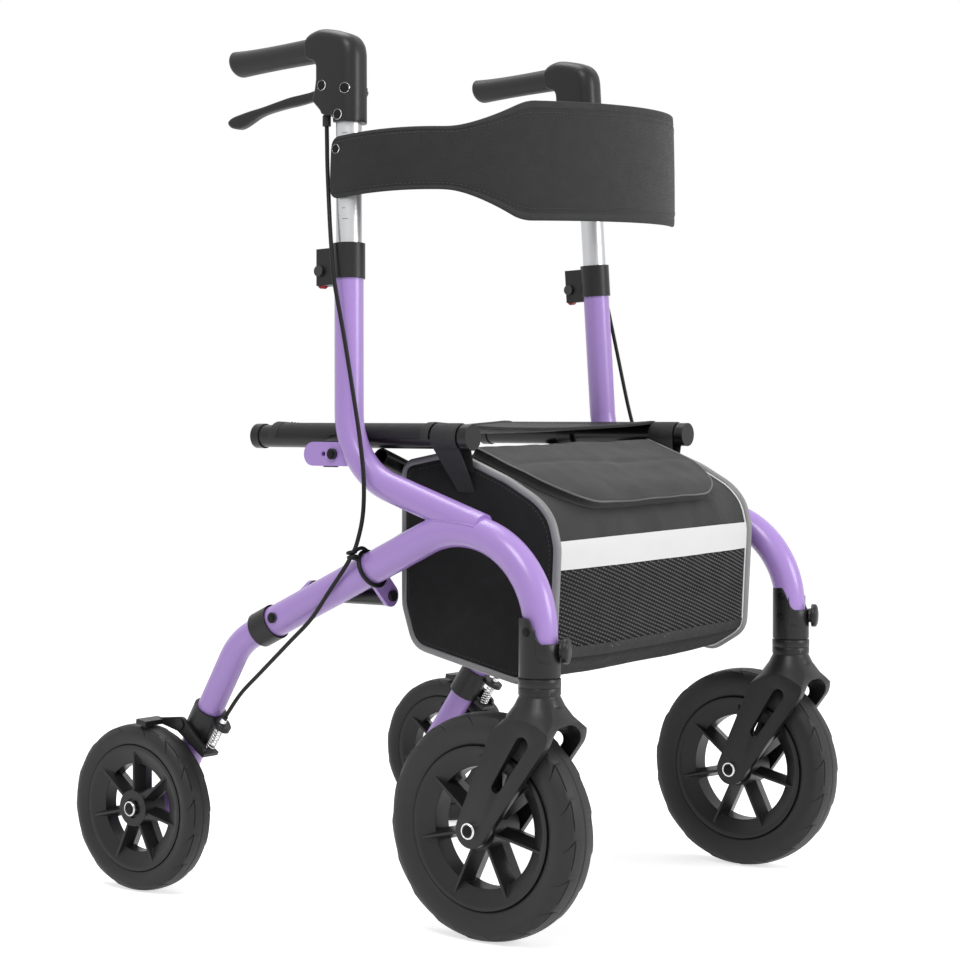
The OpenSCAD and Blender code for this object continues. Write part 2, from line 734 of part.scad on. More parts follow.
module caster_fork(side) {
  crown = [stem_y, fork_top_z - fork_collar_h];
  foot = [front_axle_y, front_r];
  slot_a = crown + (foot - crown) * fork_slot_shares[0];
  slot_b = crown + (foot - crown) * fork_slot_shares[1];
  arch_w = front_tyre_w / 2 + fork_gap - running;
  arch_z = fork_top_z - fork_arch_drop;
  color(plastic_black) on_side(side) difference() {
    union() {
      intersection() {
        translate([front_x, 0, 0]) across(2 * fork_half_w)
          taper(crown, fork_crown_r, foot, fork_foot_r);
        lengthwise(stem_y - front_r, front_axle_y + front_r) polygon([
          [front_x - housing_r, fork_top_z], [front_x + housing_r, fork_top_z],
          [front_x + housing_r, fork_top_z - fork_collar_h],
          [front_x + fork_half_w, fork_top_z - fork_collar_h - fork_flare],
          [front_x + fork_half_w, 0], [front_x - fork_half_w, 0],
          [front_x - fork_half_w, fork_top_z - fork_collar_h - fork_flare],
          [front_x - housing_r, fork_top_z - fork_collar_h]
        ]);
      }
      translate([front_x, stem_y, fork_top_z - fork_collar_h])
        cylinder(h = fork_collar_h, r = housing_r);
      translate([front_x, stem_y, fork_top_z - fork_collar_h])
        cylinder(h = fork_collar_h + stem_l, r = stem_r);
    }
    x_rod([front_x, front_axle_y, front_r], front_tyre_w + 2 * fork_gap, front_r + fork_tyre_gap);
    translate([front_x, 0, 0]) lengthwise(stem_y - front_r, front_axle_y) polygon(rounded([
      [-arch_w, 0, 0], [-arch_w, arch_z, fork_arch_r], [arch_w, arch_z, fork_arch_r],
      [arch_w, 0, 0]
    ]));
    x_rod([front_x, front_axle_y, front_r], 2 * (fork_half_w + overrun), axle_d / 2 + snug);
    translate([front_x, 0, 0]) across(2 * (fork_half_w + overrun))
      taper(slot_a, fork_slot_r, slot_b, fork_slot_r);
  }
}

module front_axle(side) {
  color(steel_grey) on_side(side)
    axle([front_x, front_axle_y, front_r], -fork_half_w, fork_half_w);
}

module rear_axle(side) {
  splay = axle_head_r * abs(leg_axis.x) / leg_axis.z;
  inner = -leg_offset - leg_tube_r - splay - snug;
  outer = rear_hub_w / 2 + slip;
  spacer = leg_offset - leg_tube_r - splay;
  color(steel_grey) on_side(side) {
    axle([rear_x, rear_axle_y, rear_r], inner, outer);
    difference() {
      x_rod([rear_x - (spacer + rear_hub_w / 2) / 2, rear_axle_y, rear_r],
        spacer - rear_hub_w / 2 - 2 * slip, axle_head_r);
      x_rod([rear_x, rear_axle_y, rear_r], 2 * leg_offset, axle_d / 2 - running);
    }
  }
}

// Bolt along X with a head at each end, from a to b measured from o
module axle(o, a, b) {
  x_rod(o + [(a + b) / 2, 0, 0], b - a, axle_d / 2);
  x_rod(o + [a - axle_head_t / 2, 0, 0], axle_head_t, axle_head_r);
  x_rod(o + [b + axle_head_t / 2, 0, 0], axle_head_t, axle_head_r);
}

// Moulded rim: channel for the tyre, a bowl in each face, hub with bearing seats, and spokes
// that are a thin rib over the bowl and a wide web at the wheel's middle
module rim(o, r, tyre_h, tyre_w, hub_d, hub_w) {
  edge_r = r - tyre_h;
  floor_r = edge_r - rim_channel;
  half = tyre_w / 2 - rim_lip;
  window_r = floor_r - rim_floor;
  bowl_r = edge_r - rim_band;
  dish = half * dish_share;
  spoke_half = tyre_w * spoke_depth_share;
  spoke_r = bowl_r - (half - spoke_half) * (bowl_r - window_r) / dish + spoke_bite;
  wall = rim_lip * (1 - overrun / rim_channel);
  difference() {
    union() {
      wheel_turned(o) polygon(rounded([
        [window_r, dish - half, 0], [bowl_r, -half, rim_round], [edge_r, -half, 0],
        [edge_r, half, 0], [bowl_r, half, rim_round], [window_r, half - dish, 0]
      ]));
      x_rod(o, hub_w, hub_d / 2);
      for (i = [0 : spoke_count - 1])
        translate(o) rotate([360 * i / spoke_count, 0, 0]) linear_extrude(spoke_r) polygon([
          [spoke_half, -spoke_rib / 2], [spoke_half, spoke_rib / 2], [0, spoke_web / 2],
          [-spoke_half, spoke_rib / 2], [-spoke_half, -spoke_rib / 2], [0, -spoke_web / 2]
        ]);
    }
    wheel_turned(o) polygon([
      [floor_r, 2 * rim_lip - half], [edge_r + overrun, wall - half],
      [edge_r + overrun, half - wall], [floor_r, half - 2 * rim_lip]
    ]);
    x_rod(o, hub_w + overrun, axle_d / 2 + running);
    x_rod(o + [hub_w / 2, 0, 0], 2 * hub_recess, hub_recess_d / 2);
    x_rod(o - [hub_w / 2, 0, 0], 2 * hub_recess, hub_recess_d / 2);
  }
}

module tyre(o, r, tyre_h, tyre_w) {
  edge_r = r - tyre_h;
  floor_r = edge_r - rim_channel + tyre_sit;
  half = tyre_w / 2;
  bead = half - 2 * rim_lip - tyre_sit;
  wheel_turned(o) polygon(rounded([
    [floor_r, rim_lip - bead, 0], [edge_r + tyre_sit, -bead, 0],
    [edge_r + tyre_sit, 2 * rim_lip - half, 0],
    [r - tyre_h * shoulder_share, -half, half * shoulder_share],
    [r, -tyre_w * crown_share, half * shoulder_share],
    [r, tyre_w * crown_share, half * shoulder_share],
    [r - tyre_h * shoulder_share, half, half * shoulder_share],
    [edge_r + tyre_sit, half - 2 * rim_lip, 0], [edge_r + tyre_sit, bead, 0],
    [floor_r, bead - rim_lip, 0]
  ]));
}

module front_rim(side) {
  color(plastic_black) on_side(side)
    rim([front_x, front_axle_y, front_r], front_r, front_tyre_h, front_tyre_w, front_hub_d,
      front_hub_w);
}

module front_tyre(side) {
  color(rubber_black) on_side(side)
    tyre([front_x, front_axle_y, front_r], front_r, front_tyre_h, front_tyre_w);
}

module rear_rim(side) {
  color(plastic_black) on_side(side)
    rim([rear_x, rear_axle_y, rear_r], rear_r, rear_tyre_h, rear_tyre_w, rear_hub_d, rear_hub_w);
}

module rear_tyre(side) {
  color(rubber_black) on_side(side)
    tyre([rear_x, rear_axle_y, rear_r], rear_r, rear_tyre_h, rear_tyre_w);
}

// Brakes

// Frame of a brake: X outward from the leg's axis, Y along w and Z along u
module on_leg() {
  place([bracket_x, rear_axle_y, rear_r], [0, -sin(leg_pitch), cos(leg_pitch)]) children();
}

// Sleeve on the leg with the cable stop and the pin of the brake arm
module brake_bracket(side) {
  arm_root = bracket_r + bracket_arm_r - bracket_bite;
  pin_root = sqrt(pow(bracket_r, 2) - pow(arm_pivot.x, 2)) - bracket_bite;
  pin_end = arm_x + arm_t + slip;
  color(plastic_black) on_side(side) {
    difference() {
      rod(leg_axle + leg_axis * bracket_low, leg_axle + leg_axis * bracket_high, bracket_r);
      rod(leg_axle + leg_axis * (bracket_low - overrun),
        leg_axle + leg_axis * (bracket_high + overrun), leg_tube_r + snug);
    }
    on_leg() {
      translate([0, 0, bracket_high - bracket_arm_t]) linear_extrude(bracket_arm_t)
        taper([spring_x / 2, -arm_root], bracket_arm_r,
          [spring_x, -bracket_arm_reach], bracket_arm_r);
      translate([spring_x, spring_w, bracket_high - running])
        cylinder(h = barrel_l + running, r = barrel_r);
      x_rod([(pin_root + pin_end + arm_head_t) / 2, arm_pivot.x, arm_pivot.y],
        pin_end + arm_head_t - pin_root, arm_pin_r);
      x_rod([pin_end + arm_head_t / 2, arm_pivot.x, arm_pivot.y], arm_head_t,
        arm_pivot_r - arm_head_t);
    }
  }
}

// Arm that presses the shoe on the tread when the cable lifts its hook
module brake_arm(side) {
  shoe_r = rear_r + shoe_gap;
  root = (shoe_r + shoe_t / 2) * [sin(shoe_angle), cos(shoe_angle)];
  color(plastic_black) on_side(side) on_leg() {
    difference() {
      translate([arm_x + arm_t / 2, 0, 0]) across(arm_t) {
        taper(arm_pivot, arm_pivot_r, arm_hook, arm_hook_r);
        taper(arm_pivot, arm_pivot_r, root, shoe_root_r / 2);
      }
      x_rod([arm_x, arm_pivot.x, arm_pivot.y], 2 * (arm_t + overrun), arm_pin_r + running);
    }
    translate([0, arm_hook.x - hook_w / 2, hook_low])
      cube([arm_x + arm_t, hook_w, hook_t]);
    rotate([-shoe_angle, 0, 0]) translate([arm_x, -shoe_l / 2, shoe_r])
      cube([rear_x + rear_tyre_w / 2 - bracket_x - arm_x, shoe_l, shoe_t]);
  }
}

function spring_pt(t) =
  let (turn = 360 * spring_curls * t, r = (spring_d - spring_wire_d) / 2)
  [spring_x + r * cos(turn), spring_w + r * sin(turn),
    spring_low + (spring_high - spring_low) * t];

// Least gap of the spring to itself, measured from each point to those a curl away
function spring_gap() =
  let (n = spring_rings * spring_curls)
  min([for (i = [0 : n], j = [i + spring_apart : 1 : n])
    norm(spring_pt(i / n) - spring_pt(j / n)) - spring_wire_d]);

module brake_spring(side) {
  n = spring_rings * spring_curls;
  step = 1 / n;
  color(steel_grey) on_side(side) on_leg()
    swept([for (i = [0 : n])
      ring_at(spring_pt(i * step), spring_pt((i + 1) * step) - spring_pt((i - 1) * step),
        spring_wire_d / 2, spring_sides)]);
}

// Points of a smooth curve through the route, each stretch cut into equal steps
function curve_pt(pts, i, t) =
  let (
    n = len(pts) - 1, a = pts[max(i - 1, 0)], b = pts[i], c = pts[i + 1], d = pts[min(i + 2, n)]
  )
  (2 * b + (c - a) * t + (2 * a - 5 * b + 4 * c - d) * t * t
    + (3 * b - a - 3 * c + d) * t * t * t) / 2;

function curve(pts, gap) = [
  for (i = [0 : len(pts) - 2])
    let (n = max(1, round(norm(pts[i + 1] - pts[i]) / gap)))
    for (k = [0 : n - 1]) curve_pt(pts, i, k / n),
  pts[len(pts) - 1]
];

// The cable's route from the boot, with its upper part lifted to a raised handle, down to
// the barrel
function cable_route(raise) = concat(
  [upright_pt([boot_place.x, boot_place.y, handle_low + raise - boot_drop - snug])],
  [for (p = cable_points)
    p + [0, 0, raise * min(1, max(0, (p.z - cable_raise_z) / cable_raise_h))]],
  [[bracket_x + spring_x, barrel_top.x, barrel_top.y]]);

// Point of the frame with its origin at the upright's top
function upright_pt(p) =
  let (q = frame_at(upright_top, upright_axis, plane_out) * [p.x, p.y, p.z, 1]) [q.x, q.y, q.z];

barrel_top = let (u = bracket_high + barrel_l + snug) [
  rear_axle_y - u * sin(leg_pitch) + spring_w * cos(leg_pitch),
  rear_r + u * cos(leg_pitch) + spring_w * sin(leg_pitch)
];

module brake_cable(side) {
  pts = curve(cable_route(side == left ? left_raise : 0), cable_spacing * cable_d);
  n = len(pts) - 1;
  color(plastic_black) on_side(side)
    swept([for (i = [0 : n])
      ring_at(pts[i], pts[min(i + 1, n)] - pts[max(i - 1, 0)], cable_d / 2, cable_sides)]);
}

// Loose tie round the main tube and the cable beside it
module cable_tie(side) {
  inner = main_tube_r + tie_gap;
  outer = cable_beside + cable_d / 2 + tie_gap;
  color(plastic_black) on_side(side)
    place(main_pt(tie_y) + plane_out * (outer - inner) / 2, main_axis, plane_out)
      rotate_extrude() translate([(inner + outer) / 2 + tie_r, 0]) circle(tie_r);
}

// Posts and handles

module post_clamp(side) {
  color(plastic_black) on_side(side) on_upright() difference() {
    union() {
      translate([0, 0, -clamp_low]) cylinder(h = clamp_low + clamp_high, r = clamp_r);
      translate([-clamp_block_w / 2, post_r, -clamp_block_low])
        cube([clamp_block_w, clamp_block_y - post_r, clamp_block_low + clamp_block_high]);
    }
    translate([0, 0, -clamp_block_low - overrun])
      cylinder(h = clamp_block_low + overrun + snug, r = upper_tube_r + snug);
    cylinder(h = clamp_high + overrun, r = post_r + slip);
    translate([-clamp_slot_w / 2, clamp_block_y - clamp_slot_l, -clamp_block_low - overrun])
      cube([clamp_slot_w, clamp_slot_l + overrun, clamp_block_low + overrun - clamp_pin_low
        + clamp_lever_r + slip]);
    x_rod([0, clamp_pin_y, -clamp_pin_low], clamp_block_w + overrun, clamp_pin_r + snug);
    translate([-clamp_r - overrun, -clamp_r, -clamp_low]) rotate([-clamp_cut_angle, 0, 0])
      translate([0, -clamp_r, -clamp_low]) cube([2 * (clamp_r + overrun), 4 * clamp_r, clamp_low]);
  }
}

// Release lever of the clamp, hanging from the clamp screw
module clamp_lever(side) {
  color(tab_red) on_side(side) on_upright() translate([0, clamp_pin_y, -clamp_pin_low])
    difference() {
      across(clamp_lever_t)
        taper([0, 0], clamp_lever_r, [clamp_lever_r / 2, -clamp_lever_l], clamp_lever_r);
      x_rod([0, 0, 0], clamp_lever_t + overrun, clamp_pin_r + running);
    }
}

function raise_of(side) = side == left ? left_raise : 0;

module post(side) {
  color(post_silver) on_side(side) on_upright(post_out + raise_of(side) - post_l) difference() {
    cylinder(h = post_l, r = post_r);
    translate([0, 0, -overrun]) cylinder(h = post_l + 2 * overrun, r = post_r - post_wall);
  }
}

// Frame of a handle: origin at the front foot of its outline, on the post's plane
module on_handle(side) {
  on_upright(handle_low + raise_of(side)) children();
}

lever_pivot = [
  lever_pivot_share.x * handle_l - handle_front, lever_pivot_share.y * handle_h];

module handle_body(side) {
  half = handle_w / 2;
  edge = handle_w * handle_edge_share;
  foot = handle_w * handle_foot_share;
  color(plastic_black) on_side(side) on_handle(side) {
    difference() {
      intersection() {
        across(handle_w) polygon(rounded([for (p = handle_shares)
          [p.x * handle_l - handle_front, p.y * handle_h, p.z * handle_l]]));
        lengthwise(-handle_l, handle_l) polygon(rounded([
          [-half, 0, foot], [half, 0, foot], [half, handle_h, edge], [-half, handle_h, edge]]));
        linear_extrude(handle_h) polygon(rounded([
          [-half, -handle_front, half * handle_nose_share],
          [half, -handle_front, half * handle_nose_share],
          [half, handle_l, 0], [-half, handle_l, 0]]));
      }
      translate([0, 0, -overrun])
        cylinder(h = post_socket_share * handle_h + overrun, r = post_r + snug);
      across(lever_t + 2 * lever_play) {
        translate(lever_pivot) circle(lever_boss_r + lever_play);
        translate(lever_pivot - [0, lever_slot_low])
          square([handle_l, lever_slot_low + lever_slot_high]);
      }
    }
    x_rod([0, lever_pivot.x, lever_pivot.y], handle_w - 2 * foot, lever_pin_r);
    translate([boot_place.x, boot_place.y, -boot_drop]) cylinder(h = boot_l, r = boot_r);
    on_grip() translate([0, 0, -grip_root_l]) cylinder(h = grip_root_l, r = grip_root_r);
  }
}

module brake_lever(side) {
  boss = [for (p = arc([0, 0], lever_boss_r, 270, 90)) [p.x, p.y, 0]];
  color(plastic_black) on_side(side) on_handle(side)
    difference() {
      across(lever_t) translate(lever_pivot) polygon(rounded(concat(boss, [
        [lever_mid.x, lever_mid.y + lever_mid_r, lever_bend_r],
        [lever_far.x, lever_far.y + lever_far_r, lever_bend_r],
        [lever_tip.x, lever_tip.y + lever_tip_r, lever_tip_r],
        [lever_tip.x, lever_tip.y - lever_tip_r, lever_tip_r],
        [lever_far.x, lever_far.y - lever_far_r, lever_bend_r],
        [lever_mid.x, lever_mid.y - lever_mid_r, lever_bend_r]
      ])));
      x_rod([0, lever_pivot.x, lever_pivot.y], lever_t + overrun, lever_pin_r + running);
    }
}

// Frame of a grip: origin at its root, Z along the grip
module on_grip() {
  translate([0, handle_l - handle_front, grip_z_share * handle_h])
    rotate([grip_rise - 90, 0, 0]) children();
}

module grip(side) {
  color(rubber_black) on_side(side) on_handle(side) on_grip() translate([0, 0, snug])
    rotate_extrude()
      polygon(concat([[0, 0]], [for (p = grip_shares) [p.y * grip_d / 2, p.x * grip_l]],
        [[0, grip_l]]));
}

// X brace and seat

// Brace tube from the right hinge up to the left rail, with its hinge sleeve
module brace_tube(y) {
  low = [-hinge_x, y, hinge_z];
  foot = low + cross_l * [cos(cross_angle), 0, sin(cross_angle)];
  difference() {
    union() {
      rod(low, foot, cross_r);
      y_rod(-hinge_x, hinge_z, sleeve_front_y, sleeve_rear_y, sleeve_r);
    }
    rod(low + sleeve_r * unit(foot - low), foot + overrun * unit(foot - low), cross_r - cross_wall);
    y_rod(-hinge_x, hinge_z, sleeve_front_y - overrun, sleeve_rear_y + overrun,
      hinge_pin_r + running);
    y_rod(0, pivot_z, y - cross_tube_d, y + cross_tube_d, pivot_r + running);
  }
}

module cross_tube_a() {
  color(plastic_black) brace_tube(cross_a_y);
}

module cross_tube_b() {
  color(plastic_black) mirror([1, 0, 0]) brace_tube(cross_b_y);
}

// Pivot bolt of the X brace with the spacer between its tubes
module cross_pivot() {
  front = cross_b_y - cross_r - slip;
  rear = cross_a_y + cross_r + snug;
  color(steel_grey) {
    y_rod(0, pivot_z, front, rear, pivot_r);
    y_rod(0, pivot_z, front - pivot_head_t, front, pivot_head_r);
    y_rod(0, pivot_z, rear, rear + pivot_head_t, pivot_head_r);
    difference() {
      y_rod(0, pivot_z, cross_b_y + cross_r + slip, cross_a_y - cross_r - snug, pivot_spacer_r);
      y_rod(0, pivot_z, cross_b_y, cross_a_y, pivot_r - running);
    }
  }
}

module seat_rail(side) {
  color(plastic_black) on_side(side) {
    difference() {
      y_rod(rail_x, seat_rail_z, rail_front_y, rail_front_y + seat_rail_l, rail_r);
      y_rod(rail_x, seat_rail_z, rail_front_y - overrun, rail_front_y + seat_rail_l + overrun,
        rail_r - cross_wall);
    }
    y_rod(rail_x, seat_rail_z, rail_front_y - rail_cap_l, rail_front_y, rail_cap_r);
    y_rod(rail_x, seat_rail_z, rail_front_y + seat_rail_l,
      rail_front_y + seat_rail_l + rail_cap_l, rail_cap_r);
  }
}

// Outline of the sling across the seat: over both rails and hanging between them
module seat_sling() {
  r = rail_r + slip;
  wrap = [for (i = [0 : sling_steps]) 90 - sling_wrap * (1 - i / sling_steps)];
  hang = [for (i = [1 : sling_steps - 1])
    let (s = 1 - 2 * i / sling_steps) [s * rail_x, -sling_sag * (1 - s * s)]];
  function half_wrap(side, d) = [for (a = wrap)
    [side * (rail_x + (r + d) * cos(a)), seat_rail_z + (r + d) * sin(a)]];
  function flip(list) = [for (i = [len(list) - 1 : -1 : 0]) list[i]];
  function edge(d) = concat(half_wrap(left, d),
    [for (p = hang) [p.x, seat_rail_z + r + d + p.y]], flip(half_wrap(right, d)));
  notch_w = cradle_w + 2 * sling_notch;
  color(fabric_black) difference() {
    lengthwise(sling_front_y, sling_rear_y) polygon(concat(edge(sling_t), flip(edge(0))));
    for (side = [left, right])
      on_side(side) translate([rail_x, cradle_y - notch_w / 2, 0])
        cube([seat_rail_d, notch_w, seat_rail_z + sling_notch]);
  }
}

bag_rows = [for (p = bag_shares)
  [bag_rear_y - p.x * bag_l, bag_top_z - p.y * bag_h, p.z * bag_round]];

// Place on the bag's outline box from shares of its length and height
lid_rear_y = bag_rear_y - lid_rear_share * bag_l;
lid_front_y = bag_rear_y - lid_front_share * bag_l;
lid_w = lid_w_share * bag_w;
lid_rows = [
  [-lid_w / 2, lid_rear_y, 0], [lid_w / 2, lid_rear_y, 0],
  [lid_w / 2, lid_front_y, lid_hem_r], [-lid_w / 2, lid_front_y, lid_hem_r]
];

module storage_bag() {
  color(fabric_black) {
    difference() {
      across(bag_w) polygon(rounded(bag_rows));
      across(bag_w - 2 * bag_wall) polygon(rounded(inset(bag_rows, bag_wall)));
      translate([0, 0, bag_top_z - bag_h / 2]) linear_extrude(bag_h)
        polygon(rounded(inset(lid_rows, mouth_rim)));
    }
    bag_loop();
    mirror([1, 0, 0]) bag_loop();
  }
}

// Fabric loop from the front end of a rail down to the bag's side
module bag_loop() {
  r = rail_r + slip;
  rear = sling_front_y - loop_gap;
  lengthwise(rear - loop_l, rear) difference() {
    union() {
      translate([rail_x, seat_rail_z]) circle(r + loop_t);
      polygon([
        [rail_x - r - loop_t, seat_rail_z], [rail_x, seat_rail_z - r - loop_t],
        [bag_w / 2 + loop_t, seat_rail_z - loop_hang],
        [(bag_w - bag_wall) / 2, seat_rail_z - loop_hang]
      ]);
    }
    translate([rail_x, seat_rail_z]) circle(r);
  }
}

// Lid that follows the bag's sloping top
module bag_lid() {
  top = inset(bag_rows, -lid_t - slip);
  bottom = inset(bag_rows, -slip);
  color(fabric_black) intersection() {
    difference() {
      across(lid_w) polygon(rounded(top));
      across(lid_w + overrun) polygon(rounded(bottom));
    }
    translate([0, 0, bag_top_z - bag_h / 2]) linear_extrude(bag_h) polygon(rounded(lid_rows));
  }
}

// Back strap

strap_mid = upright_top + upright_axis * strap_low;
strap_half = strap_mid.x + post_r + strap_gap + strap_t / 2;
strap_bend_y = strap_mid.y + strap_front_y;

// Plan of the strap's middle line: t runs from -1 on the right to 1 on the left
function strap_plan(t) =
  let (s = min(1, abs(t) / (1 - strap_tail_share)),
    tail = max(0, abs(t) - 1 + strap_tail_share) / strap_tail_share, a = 90 * s)
  [sign(t) * strap_half * sin(a), strap_bend_y - strap_reach * cos(a) + strap_tail * tail];

// How much of its full height the strap has at t
function strap_wide(t) =
  let (s = (abs(t) - strap_wide_share) / (strap_narrow_share - strap_wide_share))
  pow(1 - max(0, min(1, s)), strap_ease);

function strap_ring(t) =
  let (
    p = strap_plan(t), ahead = strap_plan(min(1, t + 1 / strap_steps)),
    behind = strap_plan(max(-1, t - 1 / strap_steps)), d = unit(ahead - behind), n = [d.y, -d.x],
    wide = strap_wide(t),
    h = (strap_end_h + (strap_h - strap_end_h) * wide) / 2,
    z = strap_mid.z + left_raise * (p.x / strap_half + 1) / 2 + strap_swell * wide,
    thick = strap_t / 2,
    out = [[-thick * strap_crown_share, -1], [thick * strap_crown_share, -1],
      [thick, -strap_crown_share], [thick, strap_crown_share],
      [thick * strap_crown_share, 1], [-thick * strap_crown_share, 1],
      [-thick, strap_crown_share], [-thick, -strap_crown_share]]
  )
  [for (q = out)
    let (lean = 1 - sin(side_lean) * q.y * h / strap_half)
    [(p.x + n.x * q.x) * lean, p.y + n.y * q.x, z + q.y * h]];

module back_strap() {
  color(fabric_black)
    swept([for (i = [0 : 2 * strap_steps]) strap_ring(i / strap_steps - 1)]);
}

echo(spring_gap = spring_gap());
echo(cable_rings = len(curve(cable_route(0), cable_spacing * cable_d)));

side_frame(right);  // right_frame
seat_tab(right);  // right_seat_tab
seat_cradle(right);  // right_seat_cradle
rear_leg(right);  // right_rear_leg
leg_collar(right);  // right_leg_collar
caster_housing(right);  // right_caster_housing
caster_fork(right);  // right_fork
front_axle(right);  // right_front_axle
front_rim(right);  // right_front_rim
front_tyre(right);  // right_front_tyre
rear_axle(right);  // right_rear_axle
rear_rim(right);  // right_rear_rim
rear_tyre(right);  // right_rear_tyre
brake_bracket(right);  // right_brake_bracket
brake_arm(right);  // right_brake_arm
brake_spring(right);  // right_brake_spring
brake_cable(right);  // right_brake_cable
cable_tie(right);  // right_cable_tie
post_clamp(right);  // right_post_clamp
clamp_lever(right);  // right_clamp_lever
post(right);  // right_post
handle_body(right);  // right_handle
grip(right);  // right_grip
brake_lever(right);  // right_brake_lever
seat_rail(right);  // right_seat_rail
side_bolts(right);  // right_bolts
side_frame(left);  // left_frame
seat_tab(left);  // left_seat_tab
seat_cradle(left);  // left_seat_cradle
rear_leg(left);  // left_rear_leg
leg_collar(left);  // left_leg_collar
caster_housing(left);  // left_caster_housing
caster_fork(left);  // left_fork
front_axle(left);  // left_front_axle
front_rim(left);  // left_front_rim
front_tyre(left);  // left_front_tyre
rear_axle(left);  // left_rear_axle
rear_rim(left);  // left_rear_rim
rear_tyre(left);  // left_rear_tyre
brake_bracket(left);  // left_brake_bracket
brake_arm(left);  // left_brake_arm
brake_spring(left);  // left_brake_spring
brake_cable(left);  // left_brake_cable
cable_tie(left);  // left_cable_tie
post_clamp(left);  // left_post_clamp
clamp_lever(left);  // left_clamp_lever
post(left);  // left_post
handle_body(left);  // left_handle
grip(left);  // left_grip
brake_lever(left);  // left_brake_lever
seat_rail(left);  // left_seat_rail
side_bolts(left);  // left_bolts
cross_tube_a();
cross_tube_b();
cross_pivot();
seat_sling();
storage_bag();
bag_lid();
back_strap();
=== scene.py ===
"""Looks of the all-terrain rollator: materials, soft goods, cords, treads and small fittings
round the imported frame. Sizes are in millimetres, in the frame's own axes, until a mesh is made."""

from math import acos, atan2, cos, exp, pi, radians, sin, sqrt, tan

import bpy
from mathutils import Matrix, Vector, noise


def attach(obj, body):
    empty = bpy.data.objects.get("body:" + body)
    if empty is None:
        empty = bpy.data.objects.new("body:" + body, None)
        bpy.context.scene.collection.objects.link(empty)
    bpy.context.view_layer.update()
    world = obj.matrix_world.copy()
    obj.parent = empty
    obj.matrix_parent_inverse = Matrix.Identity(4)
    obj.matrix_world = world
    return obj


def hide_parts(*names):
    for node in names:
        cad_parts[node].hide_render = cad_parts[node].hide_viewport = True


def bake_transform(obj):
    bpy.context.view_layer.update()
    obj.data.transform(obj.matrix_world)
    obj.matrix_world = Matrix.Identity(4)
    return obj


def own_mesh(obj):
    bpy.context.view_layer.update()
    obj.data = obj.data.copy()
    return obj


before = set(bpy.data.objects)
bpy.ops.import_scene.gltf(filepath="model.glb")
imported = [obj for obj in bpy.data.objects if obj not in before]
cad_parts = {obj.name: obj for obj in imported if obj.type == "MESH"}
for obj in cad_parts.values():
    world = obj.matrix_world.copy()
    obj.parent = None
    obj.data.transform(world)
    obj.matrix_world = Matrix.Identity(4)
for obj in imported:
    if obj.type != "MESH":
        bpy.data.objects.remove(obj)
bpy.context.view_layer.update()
scene = bpy.context.scene
MM = 0.001
SIDES = (("right", -1), ("left", 1))

# Sizes that the looks share with the part

FRONT_R, REAR_R = 127, 102
FRONT_X, REAR_X = 278, 308
FRONT_Y, REAR_Y, STEM_Y = -241.5, 266.5, -307.5
LEAN, RAKE = radians(2.62), radians(2.15)
LEAN_Z = 291
KNEE_Y, KNEE_Z, UPRIGHT_TOP_Z = -30, 519, 768
MAIN_Z, MAIN_SLOPE, MAIN_R, ARCH_R = 373, radians(25.35), 19, 113
BRACE_SLOPE, BRACE_R = radians(18.1), 17
RAIL_X, RAIL_Z, RAIL_R = 231, 556, 13.5
POST_R, LEFT_RAISE = 15, 21
RAISED = {-1: 0, 1: LEFT_RAISE}
HANDLE_LOW, BOOT = 153.19, (9, 26, 1.65)
FORK_HALF, HOUSING_R, KNOB_Z, KNOB_TURN = 38, 23, 326, (0.42, -0.908)
BAG_W, BAG_L, BAG_H, BAG_REAR, BAG_TOP, BAG_ROUND = 422, 213, 254, -69.5, 539, 24
BAG_SHARES = (
    (0, 0.05, 0.5), (0, 0.69, 1), (0.07, 0.87, 1), (0.77, 1, 1), (0.97, 0.9, 1),
    (1, 0.4, 2), (0.965, 0.28, 2), (0.88, 0.205, 3), (0.68, 0.115, 3), (0.33, 0, 1.5),
)
BAG_TILT, BAG_STEP = 0.017, 4.2
LID_REAR, LID_FRONT, LID_W = BAG_REAR - 0.36 * BAG_L, BAG_REAR - 0.935 * BAG_L, 0.87 * BAG_W


def side_pt(y, z):
    """Point of the left side frame's leaning plane."""
    return Vector((FRONT_X - (z - LEAN_Z) * sin(LEAN), y, LEAN_Z + (z - LEAN_Z) * cos(LEAN)))


def main_pt(y):
    return side_pt(y, MAIN_Z - y * tan(MAIN_SLOPE))


def brace_pt(y):
    return side_pt(y, KNEE_Z + (y - KNEE_Y) * tan(BRACE_SLOPE))


PLANE_OUT = Vector((cos(LEAN), 0, sin(LEAN)))
UPRIGHT_TOP = side_pt(KNEE_Y + (UPRIGHT_TOP_Z - KNEE_Z) * tan(RAKE), UPRIGHT_TOP_Z)
UPRIGHT_AXIS = (UPRIGHT_TOP - side_pt(KNEE_Y, KNEE_Z)).normalized()
UPRIGHT_REAR = UPRIGHT_AXIS.cross(PLANE_OUT).normalized()


def on_upright(x, y, z, raised=0):
    """Point in the upright's own frame: x outward, y to the rear, z up from the upright's top."""
    return UPRIGHT_TOP + PLANE_OUT * x + UPRIGHT_REAR * y + UPRIGHT_AXIS * (z + raised)


# Materials


def node(tree, kind, inputs=None, **values):
    """Shader node with its settings, and its inputs set or linked."""
    made = tree.nodes.new("ShaderNode" + kind)
    for key, value in values.items():
        setattr(made, key, value)
    for key, value in (inputs or {}).items():
        link(tree, value, made.inputs[key])
    return made


def link(tree, value, socket):
    if isinstance(value, bpy.types.NodeSocket):
        tree.links.new(value, socket)
    else:
        socket.default_value = value


def maths(tree, operation, a, b):
    return node(tree, "Math", {0: a, 1: b}, operation=operation).outputs[0]


